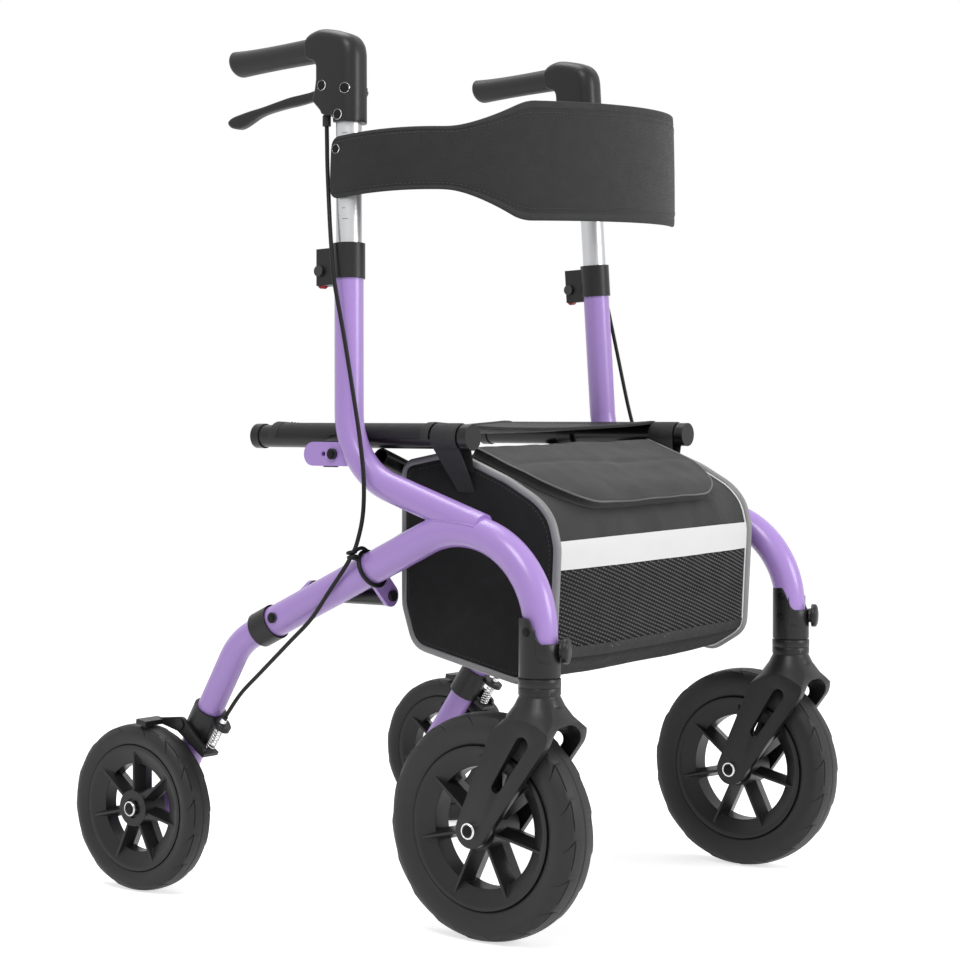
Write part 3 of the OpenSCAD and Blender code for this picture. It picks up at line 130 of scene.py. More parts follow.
def noise_of(tree, coords, scale, detail):
    inputs = {"Scale": scale, "Detail": detail, "Vector": coords}
    return node(tree, "TexNoise", inputs).outputs["Fac"]


def range_of(tree, value, low, high):
    """A value from 0 to 1 spread from low to high."""
    return node(tree, "MapRange", {"Value": value, "To Min": low, "To Max": high}).outputs["Result"]


def weave_of(tree, period):
    """Height of a plain weave on a cloth's own lengths: warp and weft threads by turns."""
    lengths = node(tree, "Attribute", attribute_name="cloth").outputs["Vector"]
    wave = {"Scale": 2 * pi / 20 / (period * MM), "Vector": lengths}
    warp, weft = [node(tree, "TexWave", wave, bands_direction=way).outputs["Fac"] for way in "XY"]
    check = node(tree, "TexChecker", {"Scale": 1 / (period * MM), "Vector": lengths})
    inputs = {"Factor": check.outputs["Fac"], "A": warp, "B": weft}
    return node(tree, "Mix", inputs).outputs["Result"]


def material(name, colour, rough, vary=0.1, patch=9, bumps=(), weave=None, edge=0, **sockets):
    """Principled material whose colour and roughness drift over patches of the surface.
    bumps are (scale per metre, depth in mm); weave is (thread in mm, depth in mm, shade), shade
    being the painted shade and highlight that the weave's height puts in the colour."""
    made = bpy.data.materials.new(name)
    made.use_nodes = True
    tree = made.node_tree
    shader = tree.nodes["Principled BSDF"]
    coords = node(tree, "TexCoord").outputs["Object"]
    drift = {"A": (*[c * (1 - vary) for c in colour], 1),
             "B": (*[min(1, c * (1 + vary)) for c in colour], 1),
             "Factor": noise_of(tree, coords, patch, 3)}
    tone = node(tree, "Mix", drift, data_type="RGBA").outputs["Result"]
    spread = range_of(tree, noise_of(tree, coords, patch * 6, 4), max(0.02, rough * 0.85),
                      min(1, rough * 1.15))
    link(tree, spread, shader.inputs["Roughness"])
    normal = None
    if edge:
        normal = node(tree, "Bevel", {"Radius": edge * MM}, samples=4).outputs["Normal"]
    heights = [(noise_of(tree, coords, scale, 2), depth) for scale, depth in bumps]
    if weave:
        thread, depth, shade = weave
        height = weave_of(tree, thread)
        heights.append((height, depth))
        # Painted shade and highlight: the colour darkens in the weave's hollows and lightens on its
        # thread tops.
        lit = {"Factor": 1, "A": tone, "B": range_of(tree, height, 1 - shade, 1 + shade)}
        tone = node(tree, "Mix", lit, data_type="RGBA", blend_type="MULTIPLY").outputs["Result"]
    for height, depth in heights:
        bump = {"Strength": 1, "Distance": depth * MM, "Height": height}
        if normal:
            bump["Normal"] = normal
        normal = node(tree, "Bump", bump).outputs["Normal"]
    if normal:
        link(tree, normal, shader.inputs["Normal"])
    link(tree, tone, shader.inputs["Base Color"])
    for key, value in sockets.items():
        link(tree, value, shader.inputs[key.replace("_", " ")])
    return made


PAINT = material("lavender_paint", (0.440, 0.274, 0.690), 0.3, 0.03, 7, [(900, 0.02), (160, 0.03)],
                 edge=0.8, Coat_Weight=0.3, Coat_Roughness=0.18)
PLASTIC = material("black_plastic", (0.014, 0.014, 0.0145), 0.36, 0.14, 11,
                   [(2600, 0.03), (500, 0.03)], edge=1.2, Specular_IOR_Level=0.32)
TYRE = material("tyre_rubber", (0.022, 0.022, 0.0215), 0.5, 0.16, 14, [(1800, 0.05), (90, 0.1)],
                edge=0.5, Specular_IOR_Level=0.32)
GRIP = material("grip_rubber", (0.02, 0.02, 0.0205), 0.45, 0.15, 14, [(1300, 0.08)], edge=0.8,
                Specular_IOR_Level=0.35)
STEEL = material("bright_steel", (0.72, 0.72, 0.73), 0.2, 0.06, 30, [(900, 0.01)], edge=0.4,
                 Metallic=1)
DARK_STEEL = material("black_steel", (0.05, 0.05, 0.052), 0.34, 0.12, 30, [(900, 0.02)], edge=0.4,
                      Metallic=0.6)
ALLOY = material("satin_alloy", (0.58, 0.585, 0.595), 0.34, 0.03, 8, [(1200, 0.01)], Metallic=0.85)
TUBE = material("black_tube", (0.008, 0.008, 0.0085), 0.3, 0.12, 9, [(700, 0.02)], edge=0.6,
                Specular_IOR_Level=0.35)
RED = material("red_plastic", (0.5, 0.02, 0.026), 0.38, 0.08, 20, [(1500, 0.02)], edge=0.5)
CABLE = material("cable_sleeve", (0.006, 0.006, 0.0065), 0.45, 0.12, 40, [(1500, 0.02)],
                 Specular_IOR_Level=0.25)
CLOTH = material("bag_cloth", (0.012, 0.012, 0.0125), 0.8, 0.16, 12, [(60, 0.3)],
                 weave=(1.6, 0.16, 0.3), Sheen_Weight=0.06, Sheen_Roughness=0.5,
                 Specular_IOR_Level=0.2)
TOP_CLOTH = material("bag_top_cloth", (0.0145, 0.0145, 0.015), 0.6, 0.18, 12, [(40, 0.5)],
                     weave=(1.4, 0.12, 0.25), Sheen_Weight=0.12, Sheen_Roughness=0.5,
                     Specular_IOR_Level=0.3)
STRAP_CLOTH = material("strap_cloth", (0.015, 0.015, 0.0155), 0.66, 0.14, 10, [(50, 0.3)],
                       weave=(2.1, 0.22, 0.4), Sheen_Weight=0.14, Sheen_Roughness=0.45,
                       Specular_IOR_Level=0.3)
SEAT_CLOTH = material("seat_cloth", (0.01, 0.01, 0.0105), 0.55, 0.14, 10, [(50, 0.3)],
                      weave=(2.1, 0.16, 0.3), Specular_IOR_Level=0.3)
BINDING = material("edge_binding", (0.012, 0.012, 0.013), 0.7, 0.14, 20, [(700, 0.08)],
                   weave=(1.2, 0.1, 0.25))
NET = material("net_cord", (0.14, 0.14, 0.142), 0.5, 0.3, 40, [(1500, 0.05)])
# Painted highlight: the lid's black piping is given this grey to stand for the light line along it.
PIPING_HIGHLIGHT_GREY = material("lid_trim", (0.11, 0.11, 0.11), 0.5, 0.2, 40, [(1500, 0.05)])
THREAD = material("sewing_thread", (0.04, 0.04, 0.041), 0.6, 0.2, 60, [(3000, 0.03)])
PIPING = material("grey_piping", (0.25, 0.25, 0.255), 0.4, 0.2, 25, [(900, 0.06)],
                  Sheen_Weight=0.1)
BAND = material("reflective_band", (0.8, 0.8, 0.8), 0.42, 0.05, 12, [(1600, 0.03), (50, 0.2)])
BLACK = material("blacked_screw", (0.004, 0.004, 0.004), 0.45, 0.2, 40, [(1500, 0.02)],
                 Specular_IOR_Level=0.2)
INK = material("grey_marks", (0.16, 0.16, 0.165), 0.6, 0.1, 40, [(2000, 0.01)])

# Meshes


def clamped(share):
    return max(0, min(1, share))


def full_turn(count):
    """Angles of equal steps round a full turn."""
    return [2 * pi * k / count for k in range(count)]


def circle(o, u, v, r, count):
    """Points round a centre, from direction u towards direction v."""
    return [o + (u * cos(a) + v * sin(a)) * r for a in full_turn(count)]


def across(half, count):
    """Even places from -half to half."""
    return [half * (2 * c / count - 1) for c in range(count + 1)]


def merge(*parts):
    verts, faces = [], []
    for part_verts, part_faces in parts:
        start = len(verts)
        verts += part_verts
        faces += [[start + i for i in face] for face in part_faces]
    return verts, faces


def loft(rings, around=True, along=False, caps=True):
    """Surface through rings of equal count. around closes each ring, along joins last to first."""
    n, m = len(rings[0]), len(rings)
    verts = [Vector(p) for ring in rings for p in ring]
    faces = []
    for i in range(m if along else m - 1):
        for j in range(n if around else n - 1):
            a, b = i * n + j, i * n + (j + 1) % n
            c, d = (i + 1) % m * n + (j + 1) % n, (i + 1) % m * n + j
            faces.append([a, b, c, d])
    if caps and around and not along:
        faces.append(list(range(n - 1, -1, -1)))
        faces.append(list(range((m - 1) * n, m * n)))
    return verts, faces


def lathe(profile, o, axis, seg=40, corners=None):
    """Turned shape from rows of (radius, place along the axis); corners makes flats instead."""
    k = Vector(axis).normalized()
    i = k.orthogonal().normalized()
    j = k.cross(i)
    return loft([circle(Vector(o) + k * h, i, j, r, corners or seg) for r, h in profile])


def tube(path, radius, sides=10, along=False):
    """Round tube along a path, with frames carried along it."""
    pts = [Vector(p) for p in path]
    n = len(pts)
    rings, normal = [], None
    for i, p in enumerate(pts):
        before = pts[i - 1] if i or along else p
        after = pts[(i + 1) % n] if i < n - 1 or along else p
        tangent = (after - before).normalized()
        normal = tangent.orthogonal() if normal is None else normal - tangent * normal.dot(tangent)
        normal.normalize()
        other = tangent.cross(normal)
        r = radius(i / max(1, n - 1)) if callable(radius) else radius
        rings.append(circle(p, normal, other, r, sides))
    return loft(rings, along=along)


def spaced(path, gap, closed=False):
    """Points at about equal distances along a path."""
    pts = [Vector(p) for p in path] + ([Vector(path[0])] if closed else [])
    lengths = [0]
    for a, b in zip(pts, pts[1:]):
        lengths.append(lengths[-1] + (b - a).length)
    count = max(2, round(lengths[-1] / gap))
    out, k = [], 0
    for i in range(count + (0 if closed else 1)):
        at = lengths[-1] * i / count
        while k < len(pts) - 2 and lengths[k + 1] < at:
            k += 1
        step = max(1e-9, lengths[k + 1] - lengths[k])
        out.append(pts[k].lerp(pts[k + 1], min(1, (at - lengths[k]) / step)))
    return out


def stitches(path, length=3.2, gap=2.2, radius=0.45):
    """Row of sewing stitches along a path."""
    parts = []
    pts = spaced(path, length + gap)
    for a, b in zip(pts, pts[1:]):
        end = a.lerp(b, length / (length + gap))
        parts.append(tube([a, a.lerp(end, 0.2), a.lerp(end, 0.8), end],
                          lambda t: radius * (0.5 if t in (0, 1) else 1), 6))
    return merge(*parts)


def curve(pts, gap):
    """Smooth curve through points, cut into steps of about the gap."""
    pts = [Vector(p) for p in pts]
    out = []
    for i in range(len(pts) - 1):
        a, b, c, d = pts[max(i - 1, 0)], pts[i], pts[i + 1], pts[min(i + 2, len(pts) - 1)]
        n = max(1, round((c - b).length / gap))
        for t in (k / n for k in range(n)):
            out.append((2 * b + (c - a) * t + (2 * a - 5 * b + 4 * c - d) * t * t
                        + (3 * b - a - 3 * c + d) * t ** 3) / 2)
    return out + [pts[-1]]


def piece(name, shape, body, finish, side=1, cloth=None, sharp=38, replaces=()):
    """Makes an object from a shape drawn for the left side and rides it on its body."""
    verts, faces = shape
    mesh = bpy.data.meshes.new(name)
    if side < 0:
        faces = [list(reversed(face)) for face in faces]
    mesh.from_pydata([(v[0] * side * MM, v[1] * MM, v[2] * MM) for v in verts], [], faces)
    mesh.update()
    if cloth:
        layer = mesh.attributes.new("cloth", "FLOAT_VECTOR", "POINT")
        layer.data.foreach_set("vector", [c * MM for uv in cloth for c in (uv[0], uv[1], 0)])
    mesh.shade_smooth()
    if sharp:
        mesh.set_sharp_from_angle(angle=radians(sharp))
    mesh.materials.append(finish)
    made = bpy.data.objects.new(name, mesh)
    scene.collection.objects.link(made)
    if body:
        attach(made, body)
    for cad in replaces:
        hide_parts(cad)
    return made


def side_piece(name, end, shape, body, finish, cad=None, **more):
    """Piece of one side, on a body of that side; cad is the node it replaces there."""
    return piece(f"{name}_{end}", shape, f"{name}_{body}", finish, dict(SIDES)[name],
                 replaces=[f"{name}_{cad}"] if cad else (), **more)


def ring_lengths(rings):
    """Lengths along and across a loft, for its weave."""
    out, u = [], 0
    for i, ring in enumerate(rings):
        if i:
            middle = len(ring) // 2
            u += (Vector(ring[middle]) - Vector(rings[i - 1][middle])).length
        v = 0
        for j, p in enumerate(ring):
            if j:
                v += (Vector(p) - Vector(ring[j - 1])).length
            out.append((u, v))
    return out


def apply_modifier(obj, kind, **values):
    made = obj.modifiers.new(kind.lower(), kind)
    for key, value in values.items():
        setattr(made, key, value)
    graph = bpy.context.evaluated_depsgraph_get()
    graph.update()
    mesh = bpy.data.meshes.new_from_object(obj.evaluated_get(graph), depsgraph=graph)
    obj.modifiers.clear()
    obj.data = mesh


def on_seat(obj):
    """Gives an object a mesh of its own."""
    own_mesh(obj)


def soft_piece(name, shape, finish, body="seat", **more):
    """Piece of cloth between the rails."""
    on_seat(piece(name, shape, body, finish, **more))


# Camera, light and floor

camera = bpy.data.objects.new("camera", bpy.data.cameras.new("camera"))
scene.collection.objects.link(camera)
camera.location = (-2.36964, -1.7835, 0.5841)
camera.rotation_euler = (radians(90 - 1.6328), 0, radians(-53.3397))
camera.data.lens = 88.46
camera.data.sensor_width = 36
scene.camera = camera
scene.view_settings.view_transform = "Standard"


def seen_directly(tree):
    """1 where a camera, glossy or transmitted ray arrives, else 0."""
    path = node(tree, "LightPath")
    seen = maths(tree, "MAXIMUM", path.outputs["Is Camera Ray"], path.outputs["Is Glossy Ray"])
    return maths(tree, "MAXIMUM", seen, path.outputs["Is Transmission Ray"])


world = bpy.data.worlds.new("studio")
scene.world = world
world.use_nodes = True
WORLD_LIGHT = 0.42
background = world.node_tree.nodes["Background"].inputs
background["Color"].default_value = (1, 1, 1, 1)
link(world.node_tree, range_of(world.node_tree, seen_directly(world.node_tree), WORLD_LIGHT, 1),
     background["Strength"])

floor_mesh = bpy.data.meshes.new("floor")
REACH = 40
floor_mesh.from_pydata([(-REACH, -REACH, 0), (REACH, -REACH, 0), (REACH, REACH, 0),
                        (-REACH, REACH, 0)], [], [[0, 1, 2, 3]])
floor = bpy.data.objects.new("floor", floor_mesh)
scene.collection.objects.link(floor)
floor_finish = bpy.data.materials.new("pale_floor")
floor_finish.use_nodes = True
floor_tree = floor_finish.node_tree
floor_tree.nodes.remove(floor_tree.nodes["Principled BSDF"])
FLOOR_GLOW = 0.66
pale = node(floor_tree, "BsdfDiffuse", {"Color": (0.86, 0.86, 0.86, 1)})
strength = maths(floor_tree, "MULTIPLY", seen_directly(floor_tree), FLOOR_GLOW)
glow = node(floor_tree, "Emission", {"Color": (1, 1, 1, 1), "Strength": strength})
both = node(floor_tree, "AddShader", {0: pale.outputs["BSDF"], 1: glow.outputs["Emission"]})
link(floor_tree, both.outputs["Shader"], floor_tree.nodes["Material Output"].inputs["Surface"])
floor_mesh.materials.append(floor_finish)


def softbox(name, place, target, size, power):
    lamp = bpy.data.lights.new(name, "AREA")
    lamp.shape = "DISK"
    lamp.size = size
    lamp.energy = power
    made = bpy.data.objects.new(name, lamp)
    made.location = place
    made.rotation_euler = (Vector(target) - Vector(place)).to_track_quat("-Z", "Y").to_euler()
    scene.collection.objects.link(made)


softbox("key", (-1.9, -0.9, 2.8), (0, -0.1, 0.5), 1.2, 32)
softbox("fill", (0.8, -3.0, 1.5), (0, -0.1, 0.5), 1.4, 36)
softbox("top", (0.3, 0.6, 3.0), (0, 0, 0.4), 1.6, 30)

# Finish of the nodes that stay

FINISHES = {
    "frame": PAINT, "seat_tab": PAINT, "rear_leg": PAINT, "seat_cradle": PLASTIC,
    "leg_collar": PLASTIC, "front_axle": STEEL, "front_rim": PLASTIC, "rear_axle": STEEL,
    "rear_rim": PLASTIC, "brake_bracket": PLASTIC, "brake_arm": PLASTIC, "post_clamp": PLASTIC,
    "clamp_lever": RED, "post": ALLOY, "seat_rail": TUBE, "bolts": DARK_STEEL,
    "cross_tube_a": TUBE, "cross_tube_b": TUBE, "cross_pivot": DARK_STEEL,
}
for name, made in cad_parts.items():
    finish = FINISHES.get(name.split("_", 1)[1]) or FINISHES.get(name)
    if finish:
        made.data.materials.clear()
        made.data.materials.append(finish)

# Brake cables with their ties

LEG_CORNER = main_pt(132)
LEG_PITCH = atan2(REAR_Y - LEG_CORNER.y, LEG_CORNER.z - REAR_R)
LEG_X = REAR_X - 46
LEG_AXIS = (LEG_CORNER - Vector((LEG_X, REAR_Y, REAR_R))).normalized()
BRACKET_LOW, BRACKET_HIGH = 106, 147
BRACKET_X = LEG_X + LEG_AXIS.x * (BRACKET_LOW + BRACKET_HIGH) / 2
STOP_X, STOP_W = 8, -30


def on_leg(x, w, u):
    """Point in a brake's frame: x outward, w up and back, u up the leg from the axle."""
    return Vector((BRACKET_X + x, REAR_Y - u * sin(LEG_PITCH) + w * cos(LEG_PITCH),
                   REAR_R + u * cos(LEG_PITCH) + w * sin(LEG_PITCH)))


CABLE_POINTS = (
    (259, 10, 897), (262, 7, 872), (267, 1, 836), (274, -7, 800), (280, -15, 765),
    (283, -21, 735), (284, -37, 668), (286, -53, 598), (289, -64, 552), (291, -71, 507),
    (294, -72, 467), (297, -66, 436), (297.5, -59, 422), (298, -48, 406), (298, -24, 377),
    (296, 4, 345), (293, 41, 315), (287, 90, 277), (281, 128, 248),
)
CABLE_D, CABLE_LOW, CABLE_TOP = 5, 770, 910
CABLE_END = on_leg(STOP_X, STOP_W, 157.2)
TIE_Y, TIE_R, KNOT_R, TIE_KNOT = -68, 2.5, 2.1, Vector((297.5, -59, 422))


def boot_foot(lifted):
    """Where a cable leaves its handle."""
    return on_upright(BOOT[0], BOOT[1], HANDLE_LOW - BOOT[2], lifted)


for name, side in SIDES:
    lifted = RAISED[side]
    route = [(x, y, z + lifted * clamped((z - CABLE_LOW) / (CABLE_TOP - CABLE_LOW)))
             for x, y, z in CABLE_POINTS]
    path = curve([boot_foot(lifted), *route, CABLE_END], 6)
    cable = piece(name + "_cable_sleeve", tube(path, CABLE_D / 2, 12), None, CABLE,
                  side, replaces=[name + "_brake_cable"])
    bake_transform(cable)
    along = (main_pt(-150) - main_pt(0)).normalized()
    over = PLANE_OUT.cross(along).normalized() * -1
    ring = circle(main_pt(TIE_Y), PLANE_OUT, over, MAIN_R + TIE_R + 0.1, 48)
    way = (Vector(CABLE_POINTS[7]) - Vector(CABLE_POINTS[5])).normalized()
    first, second = way.orthogonal().normalized(), way.cross(way.orthogonal()).normalized()
    knots = []
    for shift in (-2.6, 2.6):
        loop = circle(TIE_KNOT + way * shift, first, second, CABLE_D / 2 + KNOT_R, 24)
        knots.append(tube(loop, KNOT_R, 10, True))
    for end, share, leave, bow in ((ring[13], 0.5, (-3, -1, 4), (0, -3, 6)),
                                   (ring[4], 0.6, (-2, 1, -4), (1, 0, -1))):
        strand = [TIE_KNOT + Vector(leave), TIE_KNOT.lerp(end, share) + Vector(bow), end]
        knots.append(tube(curve(strand, 2), TIE_R * 0.9, 10))
    side_piece(name, "tie_cord", merge(tube(ring, TIE_R, 12, True), *knots), "side", CABLE,
               "cable_tie", sharp=0)

# Tyres with slits in their shoulders

# A slit is a hook over the shoulder and a long cut along the tread. Steps round one repeat, as
# shares of it: the hook's four points, then the long cut
TREAD_STEPS = (0, 0.02, 0.045, 0.065, 0.13, 0.2, 0.28, 0.36, 0.44, 0.52, 0.6, 0.68, 0.74, 0.8, 0.9)
CUT_END = 12
# Half of a tyre's outline: share of its height over the rim, share of its half width, depth of
# the hook there, the hook's place in shares of a repeat, and depth of the long cut
TYRE_ROWS = (
    (-0.2, 0.56, 0, 0, 0), (0.0, 0.66, 0, 0, 0), (0.005, 0.74, 0, 0, 0), (0.03, 0.79, 0, 0, 0),
    (0.1, 0.86, 0, 0, 0), (0.22, 0.94, 0, 0, 0), (0.38, 0.99, 0, 0, 0), (0.5, 1.0, 0, 0.36, 0),
    (0.6, 0.99, 0.5, 0.35, 0), (0.7, 0.955, 1.5, 0.3, 0), (0.79, 0.89, 1.9, 0.23, 0),
    (0.87, 0.8, 1.9, 0.13, 0), (0.915, 0.7, 1.9, 0.05, 0), (0.93, 0.66, 1.9, 0.02, 0),
    (0.936, 0.64, 1.9, 0.01, 1.9), (0.943, 0.62, 1.9, 0, 1.9), (0.95, 0.595, 1, 0, 0),
    (0.985, 0.36, 0, 0, 0), (0.996, 0.2, 0, 0, 0), (1.0, 0.06, 0, 0, 0),
)


def tyre(o, r, height, width, repeats):
    rows = [*TYRE_ROWS, *reversed(TYRE_ROWS)]
    rings = []
    for i, (up, out, hook, turn, cut) in enumerate(rows):
        way = 1 if i < len(TYRE_ROWS) else -1
        ring = []
        for block in range(repeats):
            for k, step in enumerate(TREAD_STEPS):
                fade = max(0, 1 - step * 1.1)
                a = 2 * pi / repeats * (block + step + turn * fade + (way - 1) / 4)
                depth = hook if k in (1, 2) else cut if 2 < k <= CUT_END else 0
                radius = r - height + up * height - depth
                slant = 0.1 * step if 0.59 < out < 0.71 else 0
                ring.append((o[0] + (out + slant) * width / 2 * way, o[1] + radius * cos(a),
                             o[2] + radius * sin(a)))
        rings.append(ring)
    return loft(rings, along=True)


for name, _ in SIDES:
    for place, x, y, r, height, width, repeats in (
            ("front", FRONT_X, FRONT_Y, FRONT_R, 36, 50, 18),
            ("rear", REAR_X, REAR_Y, REAR_R, 25, 38, 15)):
        side_piece(name, place + "_tyre_tread", tyre((x, y, r), r, height, width, repeats),
                   place + "_wheel", TYRE, place + "_tyre", sharp=30)

# Bag: its outline from the side, and its surface with the swell and creases of loose cloth


def rounded(rows, steps=7):
    """Outline with each corner of (x, y, radius) rounded."""
    out = []
    for i, (x, y, r) in enumerate(rows):
        p = Vector((x, y))
        u = Vector(rows[i - 1][:2]) - p
        v = Vector(rows[(i + 1) % len(rows)][:2]) - p
        half = u.angle(v) / 2
        run = min(r / tan(half), u.length / 2, v.length / 2)
        u.normalize()
        v.normalize()
        true_r = run * tan(half)
        middle = p + (u + v).normalized() * true_r / sin(half)
        start, end = p + u * run - middle, p + v * run - middle
        turn = -start.angle_signed(end)
        for k in range(steps + 1):
            a = turn * k / steps
            out.append(middle + Vector((start.x * cos(a) - start.y * sin(a),
                                        start.x * sin(a) + start.y * cos(a))))
    return out


bag_outline = spaced(
    [(0, p.x, p.y) for p in rounded([(BAG_REAR - x * BAG_L, BAG_TOP - y * BAG_H, r * BAG_ROUND)
                                     for x, y, r in BAG_SHARES])], BAG_STEP, closed=True)
BAG_N = len(bag_outline)
bag_lengths = [0]
for i in range(BAG_N):
    bag_lengths.append(bag_lengths[-1] + (bag_outline[(i + 1) % BAG_N] - bag_outline[i]).length)


def bag_at(at):
    """Point and outward normal of the bag's outline at a place along it, in points."""
    i, t = int(at) % BAG_N, at % 1
    p, q = bag_outline[i], bag_outline[(i + 1) % BAG_N]
    d = bag_outline[(i + 2) % BAG_N] - bag_outline[i - 1]
    return p.lerp(q, t), Vector((0, -d.z, d.y)).normalized()


BAG_OUT = -1 if bag_at(0)[1].y < 0 else 1
FRONT_SWELL, TOP_SWELL, LOW_SWELL = 5, -2, 3
# Creases: their lengths along x, y and z, a shift of the noise, and their depth
CREASES = (((70, 38, 45), 3, 2.6), ((26, 60, 24), 9, 0.9))
CALM, BAG_T, PIPING_R, PIPING_HIGHLIGHT_R = 0.25, 3, 4.8, 1.1


def hung(p):
    """The bag hangs a little lower on its right side."""
    return p + Vector((0, 0, p.x * BAG_TILT))


def bag_point(at, x, off=0):
    """Point of the bag's cloth, swollen in the middle of its front and creased on its top."""
    p, normal = bag_at(at)
    normal = normal * BAG_OUT
    loose = 1 - abs(2 * x / BAG_W) ** 4
    front = max(0, -normal.y) * FRONT_SWELL
    top = max(0, normal.z) * TOP_SWELL
    bottom = max(0, -normal.z) * LOW_SWELL
    crease = sum(noise.noise(Vector((x / a, p.y / b, p.z / c + shift))) * depth
                 for (a, b, c), shift, depth in CREASES)
    calm = CALM if normal.y > 0.5 or normal.z < -0.3 else 1
    swell = (front + top + bottom + crease * calm) * loose
    return hung(Vector((x, p.y, p.z)) + normal * (swell + off))


def crossing(axis, value, upper):
    """Place on the outline's upper or front run where a coordinate passes a value."""
    for i in range(BAG_N):
        a, b = bag_outline[i], bag_outline[(i + 1) % BAG_N]
        if (a[axis] - value) * (b[axis] - value) <= 0 and a[axis] != b[axis] and upper(a):
            return i + (value - a[axis]) / (b[axis] - a[axis])
    return 0


def on_top(p):
    return p.z > BAG_TOP - 0.45 * BAG_H


def on_front(p):
    return p.y < BAG_REAR - 0.8 * BAG_L


lid_from = crossing(1, LID_REAR, on_top)
lid_to = crossing(1, LID_FRONT, on_top)
LID_ROUND, LID_RISE = 78, 11


def lid_half(at):
    """Half width of the lid at a place along the outline."""
    left_over = abs(bag_lengths[int(lid_to) % BAG_N] - bag_lengths[int(at) % BAG_N]
                    - (at % 1 - lid_to % 1) * BAG_STEP)
    d = min(LID_ROUND, left_over)
    return LID_W / 2 - LID_ROUND + sqrt(max(0, LID_ROUND ** 2 - (LID_ROUND - d) ** 2))


COLUMNS = 54
# Width of the cloth left round the mouth, and rows in which the columns settle beyond it
MOUTH_RIM, MOUTH_EASE = 12, 12
MOUTH_COLUMNS = round(COLUMNS * (LID_W / 2 - MOUTH_RIM) / BAG_W)
RIM_ROWS = MOUTH_RIM / BAG_STEP
mouth_rows = [min(lid_from, lid_to) + RIM_ROWS, max(lid_from, lid_to) - RIM_ROWS]


def row_columns(i):
    """Places across the bag in a row: one column follows each side of the mouth."""
    near = max(mouth_rows[0], min(mouth_rows[1], i))
    away = min(1, abs(i - near) / MOUTH_EASE)
    even = BAG_W * MOUTH_COLUMNS / COLUMNS
    half = (lid_half(near) - MOUTH_RIM) * (1 - away) + even * away
    out = []
    for c in range(COLUMNS + 1):
        k = abs(c - COLUMNS / 2)
        beyond = max(0, k - MOUTH_COLUMNS) / (COLUMNS / 2 - MOUTH_COLUMNS)
        x = half * min(k, MOUTH_COLUMNS) / MOUTH_COLUMNS + (BAG_W / 2 - half) * beyond
        out.append(x if c > COLUMNS / 2 else -x)
    return out


columns = [row_columns(i) for i in range(BAG_N)]
rings = [[bag_point(i, x) for x in columns[i]] for i in range(BAG_N)]
verts, faces = loft(rings, around=False, along=True, caps=False)
kept = []
for face in faces:
    row, column = face[0] // (COLUMNS + 1), face[0] % (COLUMNS + 1)
    inside = (mouth_rows[0] < row < mouth_rows[1] - 1
              and abs(column + 0.5 - COLUMNS / 2) < MOUTH_COLUMNS)
    if not inside:
        kept.append(face)
lengths = [(x, bag_lengths[i]) for i in range(BAG_N) for x in columns[i]]
middle = sum(bag_outline, Vector()) / BAG_N
TOP_CLOTH_Z, PANEL_PUFF, PANEL_CREASE = 430, 3, 1.6
PANEL_STEPS = (0.03, 0.08, 0.16, 0.28, 0.42, 0.58, 0.76, 0.93)
for edge, way in ((0, -1), (COLUMNS, 1)):
    last = [i * (COLUMNS + 1) + edge for i in range(BAG_N)]
    for t in PANEL_STEPS:
        start = len(verts)
        for p in bag_outline:
            q = p.lerp(middle, t)
            puff = PANEL_PUFF * (1 - (1 - t) ** 3)
            ripple = noise.noise(Vector((way * 4, q.y / 50, q.z / 60)))
            puff += ripple * PANEL_CREASE * min(1, t * 6)
            verts.append(hung(Vector((way * (BAG_W / 2 + puff), q.y, q.z))))
            lengths.append((q.y, q.z))
        ring = list(range(start, start + BAG_N))
        for j in range(BAG_N):
            k = (j + 1) % BAG_N
            quad = [last[j], last[k], ring[k], ring[j]]
            kept.append(quad if way > 0 else quad[::-1])
        last = ring
    kept.append(last if way > 0 else last[::-1])
bag = piece("bag_shell", (verts, kept), "seat", CLOTH, cloth=lengths, sharp=50,
            replaces=["storage_bag"])
bag.data.materials.append(TOP_CLOTH)
for poly in bag.data.polygons:
    if poly.center.z > TOP_CLOTH_Z * MM and abs(poly.normal.x) < 0.5:
        poly.material_index = 1
apply_modifier(bag, "SOLIDIFY", thickness=BAG_T * MM, offset=-1)
on_seat(bag)

for name, side in SIDES:
    edge = [Vector((side * (BAG_W / 2 - 1), p.y, p.z)) for p in bag_outline]
    centre = Vector((side * BAG_W / 2, middle.y, middle.z))
    out = [hung(p + (p - centre).normalized() * 1.5) for p in edge]
    soft_piece(name + "_bag_piping", tube(spaced(out, 5, True), PIPING_R, 12, True), PIPING,
               sharp=0)
    # Painted highlight: a thin white line along the inner side of the silver piping, in the
    # reflective band's material.
    line = [bag_point(i, side * (BAG_W / 2 - 6), 1) for i in range(BAG_N)]
    soft_piece(name + "_bag_piping_edge", tube(spaced(line, 5, True), PIPING_HIGHLIGHT_R, 8, True),
               BAND, sharp=0)
    inner = [hung(Vector((side * (BAG_W / 2 + 3.2), *p.lerp(middle, 0.055).yz)))
             for p in bag_outline]
    soft_piece(name + "_bag_stitching", stitches(spaced(inner, 4, True)), THREAD)


def strip(from_at, to_at, half, off, rows=8, thick=0.8):
    """Band of cloth on the bag's front between two places along its outline."""
    def ring(x):
        ats = [from_at + (to_at - from_at) * k / rows for k in range(rows + 1)]
        upper = [bag_point(at, x, off + thick) for at in ats]
        return upper + [bag_point(at, x, off) for at in reversed(ats)]
    rings = [ring(x) for x in across(half, COLUMNS)]
    return loft(rings), ring_lengths(rings)


